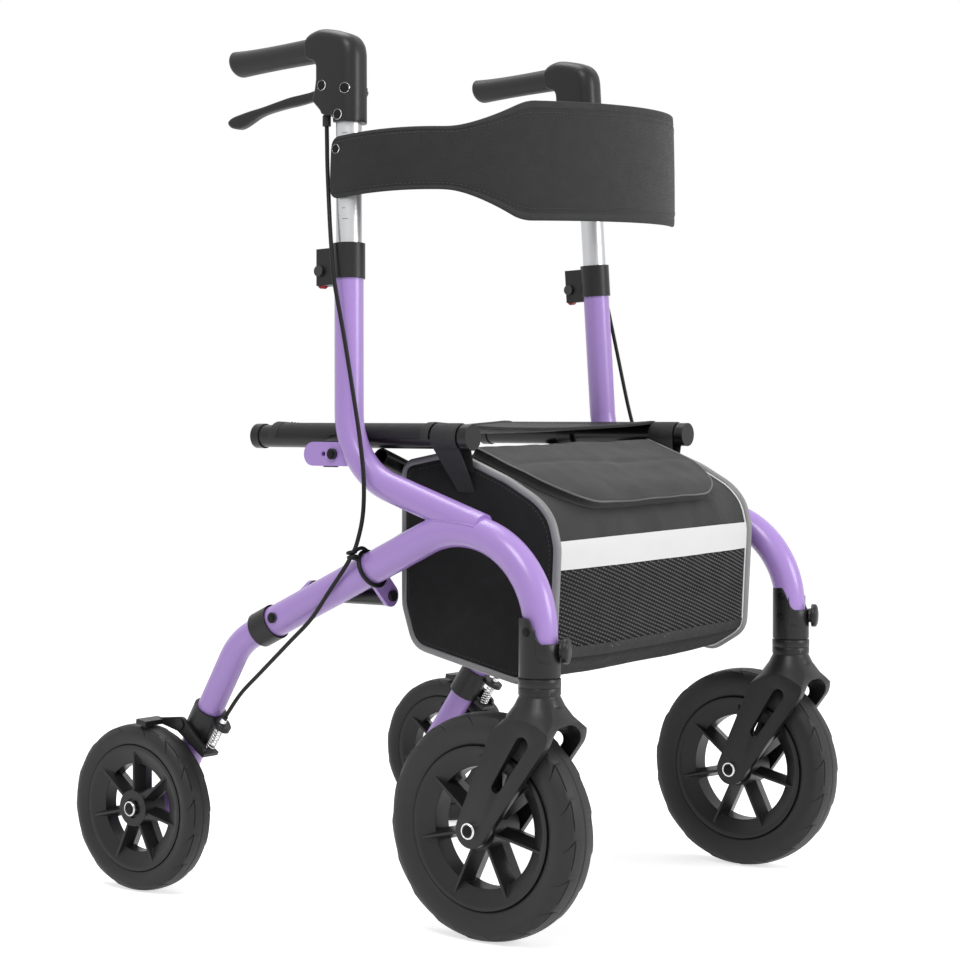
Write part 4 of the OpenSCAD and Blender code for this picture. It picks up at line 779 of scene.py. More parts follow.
BAND_TOP, BAND_LOW, NET_LOW = 443, 411, 318
band_top = crossing(2, BAND_TOP, on_front)
band_low = crossing(2, BAND_LOW, on_front)
net_low = crossing(2, NET_LOW, on_front)
shape, lengths = strip(band_top, band_low, BAG_W / 2 - 4, 0.3)
soft_piece("bag_band", shape, BAND, cloth=lengths)
shape, lengths = strip(net_low - 1.5, net_low + 1.2, BAG_W / 2 - 4, 0.5, 4, 1.2)
soft_piece("bag_net_binding", shape, BINDING, cloth=lengths)

# Knitted net: rows of long beads that slope across the pocket
NET_STEP, NET_ROW, NET_SLOPE, BEAD_L, BEAD_R = 5, 4.6, 0.32, 3.3, 0.8
NET_W = BAG_W / 2 - 8
net_high = abs(bag_lengths[int(net_low)] - bag_lengths[int(band_low)])
beads = []
for row in range(int((net_high + 2 * NET_W * NET_SLOPE) / NET_ROW) + 1):
    for step in range(int(2 * NET_W / NET_STEP) + 1):
        x = -NET_W + (step + row % 2 / 2) * NET_STEP
        down = row * NET_ROW - (NET_W - x) * NET_SLOPE
        if x > NET_W - BEAD_L / 2 or not 1 < down < net_high - 1:
            continue
        spine = []
        for k in (-1, -0.6, 0.6, 1):
            at = band_low + (net_low - band_low) * (down + k * BEAD_L / 2 * NET_SLOPE) / net_high
            spine.append(bag_point(at, x + k * BEAD_L / 2, 0.9))
        beads.append(tube(spine, lambda t: BEAD_R * (0.35 if t in (0, 1) else 1), 6))
soft_piece("bag_net", merge(*beads), NET, sharp=0)

# Lid with its rounded front, its wall, piping and zip tape

LID_STEPS, LID_COLUMNS, LID_FRONT_STEPS = 40, 36, 20
lid_ats = [lid_from + (lid_to - lid_from) * (1 - (1 - k / LID_STEPS) ** 1.6)
           for k in range(LID_STEPS + 1)]


def lid_edge(grow=0, off=0):
    """Outline of the lid's edge from its right rear corner round the front to the left."""
    left = [bag_point(at, lid_half(at) + grow, off) for at in lid_ats]
    right = [bag_point(at, -lid_half(at) - grow, off) for at in lid_ats]
    front = [bag_point(lid_to, lid_half(lid_to) * (1 - 2 * k / LID_FRONT_STEPS), off)
             for k in range(1, LID_FRONT_STEPS)]
    return left + front + right[::-1]


LID_CREASE = 0.42


def lid_ring(at):
    half = lid_half(at)
    xs = across(half, LID_COLUMNS)
    puffs = [1 - abs(x / half) ** 6 for x in xs]
    upper = []
    for x, puff in zip(xs, puffs):
        fold_at = (at - lid_from) / (lid_to - lid_from) - LID_CREASE - 0.05 * sin(x / 80)
        fold = exp(-(fold_at / 0.04) ** 2) * 1.6 + (0.8 if fold_at < 0 else 0)
        ripple = noise.noise(Vector((x / 45, at / 9, 1)))
        upper.append(bag_point(at, x, LID_RISE + (1.6 + ripple - fold) * puff))
    return upper + [bag_point(at, x, 0.6) for x in reversed(xs)]


rings = [lid_ring(at) for at in lid_ats]
if lid_to < lid_from:
    rings.reverse()
soft_piece("lid_panel", loft(rings), TOP_CLOTH, "lid", cloth=ring_lengths(rings), sharp=60,
           replaces=["bag_lid"])
# The lid's piping takes the painted highlight grey; the lower piping and zip tape are plain black
# binding.
for name, body, finish, grow, off, r in (
        ("lid_piping", "lid", PIPING_HIGHLIGHT_GREY, 0.4, LID_RISE, 1.3),
        ("lid_lower_piping", "lid", BINDING, 0.6, 2.6, 1.2),
        ("zip_tape", "seat", BINDING, 2.6, 0.6, 1.8)):
    soft_piece(name, tube(spaced(lid_edge(grow, off), 4), r, 10), finish, body, sharp=0)

# Loops that carry the bag on the rails

LOOP_REAR, LOOP_L, LOOP_T, LOOP_HANG = -131.5, 36, 2.5, 62
LOOP_SLANT, LOOP_NARROW, LOOP_EDGE = 18, 12, 1.5
for name, side in SIDES:
    r = RAIL_R + 0.4
    wrap = [radians(a) for a in range(-62, 204, 12)]
    inner = [(RAIL_X + r * cos(a), RAIL_Z + r * sin(a)) for a in wrap]
    inner = [(BAG_W / 2 + 3.4, RAIL_Z - LOOP_HANG), *inner, (BAG_W / 2 + 1.2, RAIL_Z - LOOP_HANG)]
    inner = [(p.x, p.z) for p in curve([(x, 0, z) for x, z in inner], 3)]
    rings = []
    for i, (x, z) in enumerate(inner):
        a, b = inner[max(0, i - 1)], inner[min(len(inner) - 1, i + 1)]
        n = Vector((b[1] - a[1], a[0] - b[0])).normalized()
        ring = []
        hang = clamped((RAIL_Z - RAIL_R - z) / (LOOP_HANG - RAIL_R))
        rear, long = LOOP_REAR - LOOP_SLANT * hang, LOOP_L - LOOP_NARROW * hang
        for y, t in ((0, 0.3), (-LOOP_EDGE, 0), (-long + LOOP_EDGE, 0), (-long, 0.3),
                     (-long, 0.7), (-long + LOOP_EDGE, 1), (-LOOP_EDGE, 1), (0, 0.7)):
            ring.append((x + n.x * LOOP_T * t, rear + y, z + n.y * LOOP_T * t))
        rings.append(ring)
    soft_piece(name + "_bag_loop", loft(rings), BINDING, side=side, cloth=ring_lengths(rings))

# Seat sling

SLING_FRONT, SLING_REAR, SLING_SAG, SLING_WRAP = -130, 112, 9, 98
NOTCH_Y, NOTCH_HALF = 1, 12.5
SLING_ROWS, WRAP_STEPS, HANG_STEPS, SLING_T = 50, 16, 20, 2.4
SEAM_IN, SEAM_ENDS = 20, 4
# Hem: place from the cloth's edge, and height over the cloth
HEM_ROWS = ((0, 0), (0, 3.2), (1.5, 3.9), (10, 3.6), (12, 2.6), (12, 2.2))
wrap = [radians(90 - SLING_WRAP * (1 - i / WRAP_STEPS)) for i in range(WRAP_STEPS + 1)]
outer = RAIL_R + 0.3


def sling_row(y):
    span = (y - SLING_FRONT) / (SLING_REAR - SLING_FRONT)
    sag = SLING_SAG * (0.82 + 0.5 * sin(pi * span))
    left_half = [(RAIL_X + outer * cos(a), RAIL_Z + outer * sin(a)) for a in wrap]
    hang = []
    for i in range(1, 2 * HANG_STEPS):
        s = 1 - i / HANG_STEPS
        ripple = noise.noise(Vector((s * 3, y / 45, 5))) * 0.8 * (1 - s * s)
        hang.append((s * RAIL_X, RAIL_Z + outer - sag * (1 - s * s) + ripple))
    right_half = [(-x, z) for x, z in reversed(left_half)]
    return [Vector((x, y, z)) for x, z in left_half + hang + right_half]


rings = [sling_row(SLING_FRONT + (SLING_REAR - SLING_FRONT) * k / SLING_ROWS)
         for k in range(SLING_ROWS + 1)]
verts, faces = loft(rings, around=False, caps=False)
faces = [f for f in faces
         if not (abs(sum(verts[i].y for i in f) / 4 - NOTCH_Y) < NOTCH_HALF
                 and sum(verts[i].z for i in f) / 4 < RAIL_Z + 1)]
faces = [f[::-1] for f in faces]
sling = piece("seat_cloth", (verts, faces), "seat", SEAT_CLOTH,
              cloth=ring_lengths(rings), sharp=60, replaces=["seat_sling"])
apply_modifier(sling, "SOLIDIFY", thickness=SLING_T * MM, offset=1)
on_seat(sling)
for place, y in (("front", SLING_FRONT), ("rear", SLING_REAR)):
    way = 1 if place == "front" else -1
    rows = []
    for dy, up in HEM_ROWS:
        line = sling_row(y + way * dy)
        rows.append([p + Vector((0, 0, up)) if abs(p.x) < RAIL_X else
                     p + Vector((p.x - RAIL_X * (1 if p.x > 0 else -1), 0,
                                 p.z - RAIL_Z)).normalized() * up for p in line])
    shape = loft(rows, around=False, caps=False)
    if way > 0:
        shape = (shape[0], [f[::-1] for f in shape[1]])
    soft_piece(f"seat_{place}_hem", shape, BINDING, cloth=ring_lengths(rows))
    line = [p + Vector((0, 0, 3.9)) for p in sling_row(y + way * 9) if abs(p.x) < RAIL_X - 6]
    soft_piece(f"seat_{place}_stitching", stitches(line), THREAD)
for name, side in SIDES:
    x = RAIL_X - SEAM_IN
    line = []
    for k in range(SLING_ROWS + 1):
        row = sling_row(SLING_FRONT + SEAM_ENDS
                        + (SLING_REAR - SLING_FRONT - 2 * SEAM_ENDS) * k / SLING_ROWS)
        line.append(min(row, key=lambda p: abs(p.x - side * x)) + Vector((0, 0, 2.7)))
    soft_piece(name + "_seat_seam", stitches(line), THREAD)

# Back strap

STRAP_REACH, STRAP_H, STRAP_END, STRAP_T = 214, 138, 72, 6
STRAP_LOW, STRAP_SWELL, STRAP_FRONT, STRAP_TAIL, STRAP_RISE = 100, 2, -12, 22, 6.5
TAIL_SHARE, WIDE_SHARE, NARROW_SHARE, EASE = 0.06, 0.38, 0.6, 1.5
STRAP_CORNER, CORNER_SHARE = 10, 0.028
STRAP_STEPS = 80
strap_mid = UPRIGHT_TOP + UPRIGHT_AXIS * STRAP_LOW
strap_half = strap_mid.x + POST_R + 0.4 + STRAP_T / 2


def strap_wide(t):
    """How much of its full height the strap has, with its corner a little rounded."""
    def sharp(at):
        s = (abs(at) - WIDE_SHARE) / (NARROW_SHARE - WIDE_SHARE)
        return (1 - clamped(s)) ** EASE
    return sum(sharp(t + d * 0.012) for d in (-2, -1, 0, 1, 2)) / 5


def strap_plan(t):
    s = 1 if abs(t) > 1 - TAIL_SHARE else abs(t) / (1 - TAIL_SHARE)
    tail = max(0, abs(t) - 1 + TAIL_SHARE) / TAIL_SHARE
    way = 1 if t > 0 else -1
    return Vector((way * strap_half * sin(pi / 2 * s),
                   strap_mid.y + STRAP_FRONT - STRAP_REACH * cos(pi / 2 * s) + STRAP_TAIL * tail))


def strap_point(t, up, out):
    """Point of the strap: t along it, up its height from -1 to 1, out from its middle in mm."""
    p = strap_plan(t)
    d = (strap_plan(min(1, t + 0.02)) - strap_plan(max(-1, t - 0.02))).normalized()
    wide = strap_wide(t)
    h = (STRAP_END + (STRAP_H - STRAP_END) * wide) / 2
    end = max(0, abs(t) - 1 + CORNER_SHARE) / CORNER_SHARE
    h -= STRAP_CORNER * (1 - sqrt(1 - end * end))
    lean = 1 - sin(LEAN) * up * h / strap_half
    rise = STRAP_RISE * sin(pi * min(1, (1 - abs(t)) / NARROW_SHARE))
    z = strap_mid.z + LEFT_RAISE * (p.x / strap_half + 1) / 2 + STRAP_SWELL * wide + rise + up * h
    return Vector(((p.x + d.y * out) * lean, p.y - d.x * out, z)), h


# Across the strap: share of its half height, and thickness as a share, with a bound edge
STRAP_ROWS = ((-1, 0.35), (-0.985, 0.72), (-0.93, 0.82), (-0.88, 0.78), (-0.865, 0.62),
              (-0.83, 0.86), (-0.7, 1), (-0.4, 1.06), (0, 1.1), (0.4, 1.06), (0.7, 1),
              (0.83, 0.86), (0.865, 0.62), (0.88, 0.78), (0.93, 0.82), (0.985, 0.72), (1, 0.35))


def strap_ring(t):
    front = [strap_point(t, up, STRAP_T / 2 * thick)[0] for up, thick in STRAP_ROWS]
    back = [strap_point(t, up, -STRAP_T / 2 * thick)[0] for up, thick in reversed(STRAP_ROWS)]
    return front + back


ts = [i / STRAP_STEPS - 1 for i in range(2 * STRAP_STEPS + 1)]
ts = sorted({*ts, *(way * (1 - CORNER_SHARE * (1 - sin(pi / 2 * k / 6)))
                    for k in range(1, 6) for way in (1, -1))})
rings = [strap_ring(t) for t in ts]
cloth = []
run = 0
for i, t in enumerate(ts):
    if i:
        run += (strap_plan(t) - strap_plan(ts[i - 1])).length
    h = strap_point(t, 0, 0)[1]
    cloth += [(run, up * h) for up, _ in STRAP_ROWS] + [(run, up * h) for up, _ in STRAP_ROWS[::-1]]
strap = piece("strap_pad", loft(rings), "right_post", STRAP_CLOTH, cloth=cloth, sharp=65,
              replaces=["back_strap"])
strap.data.materials.append(BINDING)
count = len(STRAP_ROWS)
BOUND_ROWS = 4
for poly in strap.data.polygons:
    rows_here = [v % (2 * count) for v in poly.vertices]
    rows_here = [r if r < count else 2 * count - 1 - r for r in rows_here]
    if max(rows_here) < BOUND_ROWS or min(rows_here) >= count - BOUND_ROWS:
        poly.material_index = 1
strap_pieces = [strap]
for place, up in (("upper", 0.8), ("lower", -0.8)):
    for face, way in (("front", 1), ("back", -1)):
        line = [strap_point(t, up, way * (STRAP_T / 2 * 0.93 + 0.1))[0] for t in ts]
        strap_pieces.append(piece(f"strap_{place}_{face}_stitching", stitches(line), "right_post",
                                  THREAD))
for made in strap_pieces:
    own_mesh(made)

# Moulded parts: handle bodies, grips, brake levers, caster housings and forks


def outward(outline):
    """An outline of (y, z) points made to run anticlockwise, with its outward normals."""
    turned = sum(a[0] * b[1] - b[0] * a[1] for a, b in zip(outline, outline[1:] + outline[:1]))
    outline = outline if turned > 0 else outline[::-1]
    normals = []
    for i in range(len(outline)):
        a, b = outline[i - 2], outline[(i + 2) % len(outline)]
        along = Vector((b[0] - a[0], b[1] - a[1])).normalized()
        normals.append((along.y, -along.x))
    return outline, normals


def slab_rings(outline, half, rounds, steps=6):
    """Rings of a flat body with rounded edges: rounds are in front, behind, above and below."""
    outline, normals = outward(outline)
    front, rear, top, low = rounds
    angles = [pi / 2 * k / steps for k in range(steps + 1)]
    rings = []
    for way, order in ((-1, angles[::-1]), (1, angles)):
        for a in order:
            ring = []
            for (y, z), (ny, nz) in zip(outline, normals):
                ry, rz = ny * (front if ny < 0 else rear), nz * (top if nz > 0 else low)
                r = sqrt(ry * ry + rz * rz)
                ring.append((way * (half(y) - r + r * sin(a)), y - ry * (1 - cos(a)),
                             z - rz * (1 - cos(a))))
            rings.append(ring)
    return rings


def evenly(points, gap):
    return [(p.y, p.z) for p in spaced([(0, y, z) for y, z in points], gap, closed=True)]


def taper_outline(p, p_r, q, q_r, count):
    """Outline of two circles and their outer tangents, in even steps."""
    along = atan2(q[1] - p[1], q[0] - p[0])
    lift = acos((p_r - q_r) / sqrt((q[0] - p[0]) ** 2 + (q[1] - p[1]) ** 2))
    arcs = [(q, q_r, along - lift + 2 * lift * k / 24) for k in range(25)]
    arcs += [(p, p_r, along + lift + (2 * pi - 2 * lift) * k / 24) for k in range(25)]
    points = [(o[0] + r * cos(a), o[1] + r * sin(a)) for o, r, a in arcs]
    ends = points + points[:1]
    total = sum(sqrt((b[0] - a[0]) ** 2 + (b[1] - a[1]) ** 2) for a, b in zip(ends, ends[1:]))
    return evenly(points, total / count)


HANDLE_CROWN = ((35.2, 69), (38, 75), (46, 78.5), (52, 83), (53.5, 97), (51.5, 104.5), (46.5, 110),
                (38, 113), (29, 113.4), (17, 111.3), (5, 108), (-6, 103.5), (-13, 98), (-18, 90),
                (-20, 80))
HANDLE_FOOT = ((-20, 0), (9, 0), (10.5, 9), (21, 9.5), (26.5, 12), (29, 16.5), (40, 28), (40.5, 33),
               (37, 44), (35.2, 54))
LEVER = ((30, 52), (38, 48), (50, 43), (66, 40.6), (84, 38.2), (118, 30.6), (135, 27.5),
         (148, 24.8), (160, 21.8), (166, 18.5), (168, 14.5), (165, 10), (160, 7.6), (152, 6.9),
         (144, 9.6), (135, 14.1), (128, 17.6), (118, 21), (104, 23.8), (84, 26.6), (74, 27.5),
         (60, 29.5), (50, 31), (40, 31), (30, 35))
LEVER_ROOT, LEVER_STRETCH, LEVER_RISE = 30, 1.13, 0.04
LEVER_HALF, LEVER_FLARE, FLARE_FROM, FLARE_RUN, LEVER_EDGE = 5.4, 1.8, 60, 90, 4
BOOT_ROWS = ((4.6, 0), (5, 0.6), (5, 12), (4.2, 13))
HANDLE_HALF, NOSE_R = 20, 17
GRIP_FROM, GRIP_TO, GRIP_Z, GRIP_SLOPE, GRIP_R = 46, 177, 92, 0.0175, 15.2
GRIP_STEPS, GRIP_END_STEPS = 22, 6


def grip_rings():
    """Rubber grip: a slight waist, and an end that is sharp above and rounded below."""
    rings = []
    for k in range(GRIP_STEPS + GRIP_END_STEPS + 1):
        t = min(1, k / GRIP_STEPS)
        bend = pi / 2 * max(0, k - GRIP_STEPS) / GRIP_END_STEPS
        ring = []
        for a in full_turn(48):
            up = sin(a)
            end = 1.2 + 5.2 * (1 - up)
            y = GRIP_FROM + (GRIP_TO - end - GRIP_FROM) * t + end * sin(bend)
            r = GRIP_R - 0.6 * sin(pi * t) + (1 + 0.7 * up) * t ** 6 - end * (1 - cos(bend))
            ring.append((r * cos(a), y, GRIP_Z - GRIP_SLOPE * (y - GRIP_FROM) + r * up))
        rings.append(ring)
    return rings


def curved(points):
    return [(p.y, p.z) for p in curve([(0, y, z) for y, z in points], 2)]


def nose(x):
    """How far forward the handle body may reach, as its plan is round in front."""
    aside = max(0, abs(x) - HANDLE_HALF + NOSE_R)
    return -HANDLE_HALF + NOSE_R - sqrt(NOSE_R ** 2 - aside ** 2)


handle_rings = slab_rings(evenly([*HANDLE_FOOT, *curved(HANDLE_CROWN)], 2.2),
                          lambda y: HANDLE_HALF, (NOSE_R, 4, 13, 1.5), 8)
handle_rings = [[(x, max(y, nose(x)), z) for x, y, z in ring] for ring in handle_rings]
lever_outline = curved([(LEVER_ROOT + (y - LEVER_ROOT) * LEVER_STRETCH,
                         z + (y - LEVER_ROOT) * LEVER_RISE) for y, z in LEVER])
lever_rings = slab_rings(evenly(lever_outline, 2),
                         lambda y: LEVER_HALF + LEVER_FLARE * clamped((y - FLARE_FROM) / FLARE_RUN),
                         (LEVER_EDGE,) * 4)


def on_handle(rings, lifted):
    return loft([[on_upright(x, y, HANDLE_LOW + z, lifted) for x, y, z in ring] for ring in rings])


# Caster housing: its rim is low in front of the tube, with an ear behind
RIM_FRONT, RIM_EAR, RIM_FROM, EAR_FROM, EAR_RUN = 334, 362, 305, 0.62, 0.67
# Radius, height, and 1 where the height is a share of the rise to the rim
HOUSING_ROWS = (
    (20.5, 286.2, 0), (23.2, 286, 0), (23.5, 286.4, 0), (23.5, 295, 0), (23.1, 295.5, 0),
    (20.5, 295.6, 0), (20.5, 296.9, 0), (22.6, 297, 0), (23, 297.4, 0), (23, 305, 0),
    (23, 0.25, 1), (23, 0.6, 1), (23, 0.985, 1), (22.7, 0.998, 1), (22.2, 1, 1),
    (20.6, 0.995, 1), (20.2, 0.97, 1), (19.4, 308, 0),
)


def rim_z(y):
    t = clamped((y - STEM_Y + EAR_FROM * HOUSING_R) / (EAR_RUN * HOUSING_R))
    return RIM_FRONT + (RIM_EAR - RIM_FRONT) * t * t * (3 - 2 * t)


def housing_rings():
    rings = []
    for r, z, share in HOUSING_ROWS:
        ring = []
        for a in full_turn(72):
            y = STEM_Y + r * sin(a)
            rise = RIM_FROM + (rim_z(y) - RIM_FROM) * z if share else z
            ring.append((FRONT_X + r * cos(a), y, rise))
        rings.append(ring)
    return rings


# Fork: a broad body under a shoulder that turns with the stem, less the room for its wheel
FORK_CIRCLES = (((STEM_Y, 268), 23), ((-318, 238), 26), ((FRONT_Y, FRONT_R), 20))
SHOULDER = ((254, 0), (254, 232), (62, 232), (37, 254), (28, 266), (23.4, 275), (22.8, 276),
            (22.8, 277.4), (23.4, 278), (23.4, 285.4), (23, 285.9))
FORK_ROOM, FORK_ROOM_R, ARCH_TOP, ARCH_ROUND, FORK_EDGE = 29, 133, 246, 22, 2.2
SLOT_SHARES, SLOT_R, SLOT_REACH = (0.1, 0.55), (8.4, 6), 60


def hull(points):
    """Outline round a set of (y, z) points, anticlockwise from its lowest in y."""
    points = sorted(set(points))
    chains = []
    for run in (points, points[::-1]):
        chain = []
        for p in run:
            while len(chain) > 1 and ((chain[-1][0] - chain[-2][0]) * (p[1] - chain[-2][1])
                                      <= (chain[-1][1] - chain[-2][1]) * (p[0] - chain[-2][0])):
                chain.pop()
            chain.append(p)
        chains += chain[:-1]
    return chains


def solid(shape):
    """Plain object of a shape, to be joined with others."""
    mesh = bpy.data.meshes.new("solid")
    mesh.from_pydata([tuple(c * MM for c in v) for v in shape[0]], [], shape[1])
    made = bpy.data.objects.new("solid", mesh)
    scene.collection.objects.link(made)
    return made


def prism(outline, half):
    outline, _ = outward(outline)
    return loft([[(FRONT_X + x, y, z) for y, z in outline] for x in (-half, half)])


def fork_shape():
    """Fork in one form: neck, shoulder and slotted legs."""
    outline = hull([(o[0] + r * cos(a), o[1] + r * sin(a))
                    for o, r in FORK_CIRCLES for a in full_turn(72)])
    arch = [(FORK_ROOM, 0), (-FORK_ROOM, 0)]
    for way, turn in ((-1, pi), (1, pi / 2)):
        for k in range(9):
            a = turn - pi / 2 * k / 8
            arch.append((way * (FORK_ROOM - ARCH_ROUND) + ARCH_ROUND * cos(a),
                         ARCH_TOP - ARCH_ROUND + ARCH_ROUND * sin(a)))
    arch, _ = outward(arch)
    (top, _), (foot, _) = FORK_CIRCLES[1:]
    places = [tuple(p + (q - p) * t for p, q in zip(top, foot)) for t in SLOT_SHARES]
    stem = (FRONT_X, STEM_Y, 0)
    cuts = [lathe([(FORK_ROOM_R, -FORK_ROOM), (FORK_ROOM_R, FORK_ROOM)],
                  (FRONT_X, FRONT_Y, FRONT_R), (1, 0, 0), 96),
            loft([[(FRONT_X + x, y, z) for x, z in arch] for y in (-100, -420)]),
            prism(taper_outline(places[0], SLOT_R[0], places[1], SLOT_R[1], 48), SLOT_REACH)]
    made = solid(prism(outline, FORK_HALF))
    steps = [("INTERSECT", lathe(SHOULDER, stem, (0, 0, 1), 96)),
             ("UNION", lathe(SHOULDER[4:], stem, (0, 0, 1), 72)),
             *[("DIFFERENCE", cut) for cut in cuts]]
    for operation, shape in steps:
        other = solid(shape)
        apply_modifier(made, "BOOLEAN", operation=operation, object=other, solver="EXACT")
        bpy.data.objects.remove(other)
    apply_modifier(made, "BEVEL", width=FORK_EDGE * MM, segments=3, limit_method="ANGLE",
                   angle_limit=radians(40))
    shape = ([tuple(c / MM for c in v.co) for v in made.data.vertices],
             [list(f.vertices) for f in made.data.polygons])
    bpy.data.objects.remove(made)
    return shape


fork = fork_shape()
for name, side in SIDES:
    lifted = RAISED[side]
    boot = lathe(BOOT_ROWS, boot_foot(lifted), UPRIGHT_AXIS)
    for end, shape, body, finish, cad, sharp in (
            ("handle_body", on_handle(handle_rings, lifted), "post", PLASTIC, "handle", 50),
            ("cable_boot", boot, "post", PLASTIC, None, 38),
            ("grip_sleeve", on_handle(grip_rings(), lifted), "post", GRIP, "grip", 50),
            ("lever_blade", on_handle(lever_rings, lifted), "lever", PLASTIC, "brake_lever", 50),
            ("housing_shell", loft(housing_rings(), caps=False), "side", PLASTIC, "caster_housing",
             40),
            ("fork_body", fork, "caster", PLASTIC, "fork", 40)):
        side_piece(name, end, shape, body, finish, cad, sharp=sharp)

# Springs

SPRING_LOW, SPRING_HIGH, SPRING_R, WIRE_R = 109.85, 140.15, 5.2, 0.8
CURLS, CURL_STEPS = 8, 24
leg_up = on_leg(0, 0, 1) - on_leg(0, 0, 0)
for name, side in SIDES:
    path = []
    for i in range(CURLS * CURL_STEPS + 1):
        t = i / (CURLS * CURL_STEPS)
        a = 2 * pi * CURLS * t
        path.append(on_leg(STOP_X + SPRING_R * cos(a), STOP_W + SPRING_R * sin(a),
                           SPRING_LOW + (SPRING_HIGH - SPRING_LOW) * t))
    spring = side_piece(name, "spring_coil", tube(path, WIRE_R, 10), "side", STEEL, "brake_spring",
                        sharp=0)
    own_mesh(spring)

# Screws, knobs and marks


def socket_screw(o, axis, r, h):
    """Round-headed screw with a six-sided socket."""
    head = [(r * 0.98, 0), (r, h * 0.25), (r * 0.93, h * 0.7), (r * 0.72, h), (r * 0.55, h)]
    return merge(lathe([(r * 1.32, 0), (r * 1.36, 0.2), (r * 1.3, 0.7), (r * 0.9, 0.8)], o, axis),
                 lathe(head, Vector(o) + Vector(axis).normalized() * 0.6, axis),
                 lathe([(r * 0.62, h + 0.62), (r * 0.5, h + 0.64), (r * 0.46, h * 0.3)], o, axis,
                       corners=6))


def ringed(o, axis, r, inner):
    """Bright ring round a dark head: the ring, then the head."""
    k = Vector(axis).normalized()
    ring = lathe([(r * 0.96, 0), (r, 0.4), (r * 0.95, 1), (inner * 1.08, 1.2), (inner, 0.7)], o, k)
    head = merge(lathe([(inner, 0), (inner, 1.1), (inner * 0.9, 1.8), (inner * 0.62, 2.1),
                        (inner * 0.55, 2.1)], o, k),
                 lathe([(inner * 0.58, 2.12), (inner * 0.5, 2.12), (inner * 0.46, 0.9)], o, k,
                       corners=6))
    return ring, head


def ringed_screws(name, ring_end, head_end, body, places):
    """One piece of all the bright rings at some places, and one of the dark heads."""
    rings, heads = zip(*[ringed(*place) for place in places])
    side_piece(name, ring_end, merge(*rings), body, STEEL)
    side_piece(name, head_end, merge(*heads), body, BLACK)


# Screws of a handle body: place in the upright's frame, and turn of the axis to the rear
HANDLE_SCREWS = ((18.8, -9.4, 38.2, -0.38), (19.8, 0.3, 8.3, 0), (19.8, 24.5, 44.8, 0))
HOUSING_SCREWS = ((1, 2, 347), (-1, 2, 351), (-1, 3, 325))
TAB_Z, TAB_Y, COLLAR_Y = 536, -7, 65
# How far the heads stand off the fork, the rear wheel's middle, the tab's plate and the main tube
FORK_OFF, REAR_OFF, TAB_OFF, COLLAR_OFF = 4.9, 17 + 5.2, 2.5 + 3.9, 1.8
BARREL = ((3.6, 0), (4.1, 0.3), (4.1, 3), (3.8, 3.4), (3.8, 6), (3.2, 6.6), (3.2, 9.8))
KNOB = ((9, 0), (9, 3.2), (13.9, 3.4), (14.5, 4.4), (14.5, 8.4), (13.6, 9.9), (10.5, 11.3),
        (6, 12.1), (0.4, 12.4))
SEAM = ((68, 350), (68, 336), (68, 326), (66, 320), (58, 316), (46, 314.5), (24, 313))
MARKS, MARK_LOW, MARK_STEP, MARK_T, MARK_R = 9, 40, 12.5, 0.8, POST_R + 0.06
MARK_LONG, MARK_SHORT, MARK_TURN = 7, 4, radians(8)

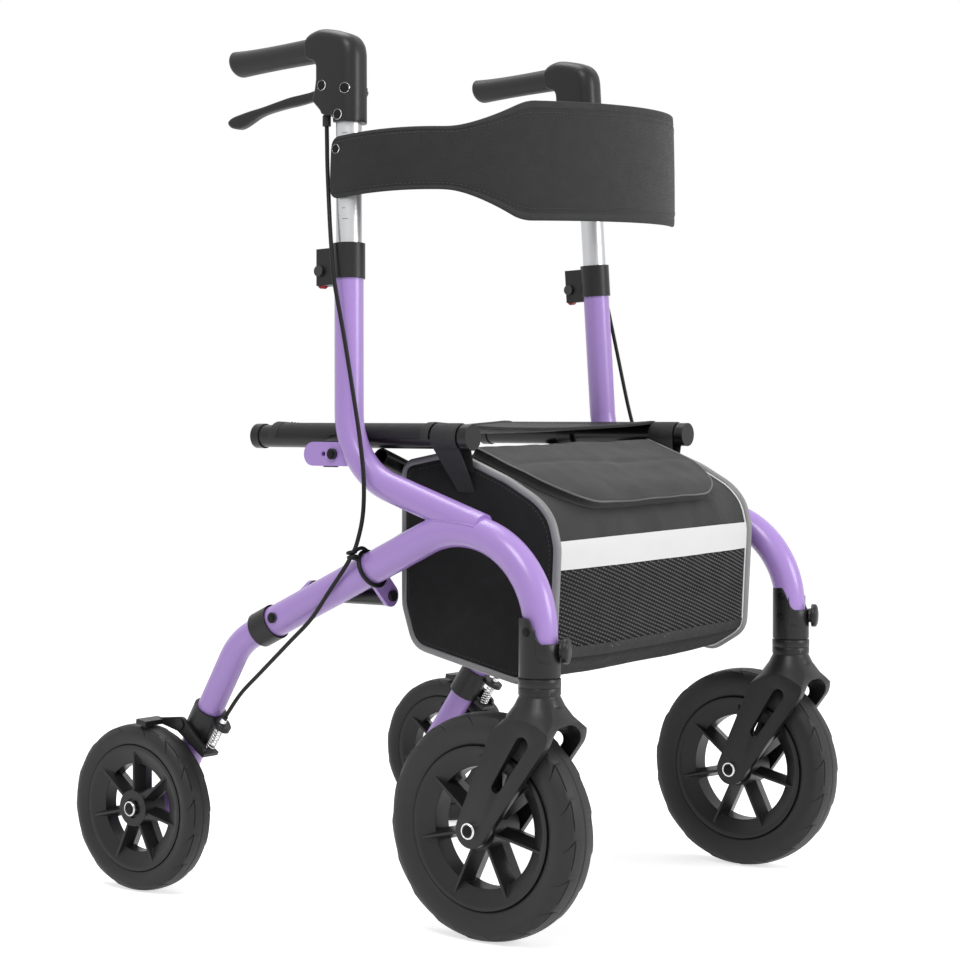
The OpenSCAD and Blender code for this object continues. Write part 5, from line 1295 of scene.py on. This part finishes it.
for name, side in SIDES:
    lifted = RAISED[side]
    ringed_screws(name, "handle_rings", "handle_screws", "post",
                  [(on_upright(way * x, y, HANDLE_LOW + z, lifted),
                    PLANE_OUT * way + UPRIGHT_REAR * turn, 6.4, 5.5)
                   for x, y, z, turn in HANDLE_SCREWS for way in (1, -1)])
    ringed_screws(name, "front_axle_rings", "front_axle_heads", "caster",
                  [((FRONT_X + way * (FORK_HALF + FORK_OFF), FRONT_Y, FRONT_R), (way, 0, 0), 7.8,
                    6.7) for way in (1, -1)])
    ringed_screws(name, "rear_axle_ring", "rear_axle_head", "side",
                  [((REAR_X + REAR_OFF, REAR_Y, REAR_R), (1, 0, 0), 8.2, 7)])
    o = Vector((side_pt(0, TAB_Z).x, TAB_Y, TAB_Z)) + PLANE_OUT * TAB_OFF
    collar = main_pt(COLLAR_Y) + PLANE_OUT * (MAIN_R + COLLAR_OFF)
    fittings = [socket_screw(o, PLANE_OUT, 4.4, 1.6), socket_screw(collar, PLANE_OUT, 4.2, 1.4)]
    eyes = [lathe([(2, 1.5), (1.9, 1.7), (0.3, 1.75)], o, PLANE_OUT, corners=6)]
    for way, dy, z in HOUSING_SCREWS:
        out = Vector((way * sqrt(HOUSING_R ** 2 - dy ** 2), dy, 0))
        o = Vector((FRONT_X, STEM_Y, z)) + out * (1 - 0.3 / HOUSING_R)
        fittings.append(socket_screw(o, out, 3.8, 1.6))
        eyes.append(lathe([(1.5, 1.4), (1.4, 1.6), (0.3, 1.65)], o, out, corners=6))
    side_piece(name, "side_screws", merge(*fittings), "side", BLACK)
    side_piece(name, "side_screw_eyes", merge(*eyes), "side", STEEL)
    barrel = lathe(BARREL, on_leg(STOP_X, STOP_W, BRACKET_HIGH + 0.1), leg_up)
    side_piece(name, "cable_barrel", barrel, "side", STEEL)
    to_knob = Vector((side * KNOB_TURN[0], KNOB_TURN[1], 0))
    caps = [lathe(KNOB, Vector((FRONT_X, STEM_Y, KNOB_Z)) + to_knob * (HOUSING_R - 0.3), to_knob)]
    for way in (1, -1):
        seam = [(FRONT_X + way * HOUSING_R * sin(radians(turn)),
                 STEM_Y - HOUSING_R * cos(radians(turn)), z) for turn, z in SEAM]
        caps.append(tube(curve(seam, 2), 0.55, 8))
    side_piece(name, "caster_cap", merge(*caps), "side", PLASTIC)
    o = strap_point(side * 0.98, 0.6, 3)[0]
    ringed_screws(name, "strap_ring", "strap_screw", "post",
                  [((abs(o.x) - 0.3, o.y, o.z), PLANE_OUT, 5.6, 4.8)])
    marks = []
    for k in range(MARKS):
        wide = MARK_SHORT if k % 2 else MARK_LONG
        z = MARK_LOW + k * MARK_STEP
        spread = [MARK_TURN + wide / POST_R * step / 4 for step in range(5)]
        rows = [[on_upright(MARK_R * cos(a), -MARK_R * sin(a), high) for a in spread]
                for high in (z, z + MARK_T)]
        marks.append(loft(rows, around=False, caps=False))
    side_piece(name, "post_marks", merge(*marks), "post", INK)

# Welds of brace and arch

MAIN_REAR, ARCH_FOOT_Z, WELD_FROM, WELD_R, LONGEST_RUN = 92, 313, -110, 1.1, 150


def main_line():
    """Axis of the main tube with its arch."""
    a = (main_pt(STEM_Y) - main_pt(MAIN_REAR)).normalized()
    b = (side_pt(STEM_Y, ARCH_FOOT_Z) - main_pt(STEM_Y)).normalized()
    turn = a.angle(b)
    inward = (b - a * a.dot(b)).normalized()
    start = main_pt(STEM_Y) - a * ARCH_R * tan(turn / 2)
    centre = start + inward * ARCH_R
    arch = [centre + (a * sin(turn * k / 40) - inward * cos(turn * k / 40)) * ARCH_R
            for k in range(41)]
    return [main_pt(MAIN_REAR), *arch, side_pt(STEM_Y, ARCH_FOOT_Z)]


axis_points = spaced(main_line(), 1.5)


def to_main(p):
    return min((p - q).length for q in axis_points)


brace_dir = (brace_pt(-224) - brace_pt(-100)).normalized()
up_dir = brace_dir.cross(PLANE_OUT).normalized()
runs = []
for a in full_turn(120):
    spoke = PLANE_OUT * cos(a) + up_dir * sin(a)
    start = brace_pt(WELD_FROM) + spoke * BRACE_R
    run = 0
    while run < LONGEST_RUN and to_main(start + brace_dir * run) > MAIN_R:
        run += 1
    runs.append(start + brace_dir * run + spoke * 0.2 if run < LONGEST_RUN else None)
gap = runs.index(None) if None in runs else 0
bead = [p for p in runs[gap:] + runs[:gap] if p]
for name, _ in SIDES:
    side_piece(name, "brace_weld", tube(spaced(bead, 3), WELD_R, 8), "side", PAINT, sharp=0)
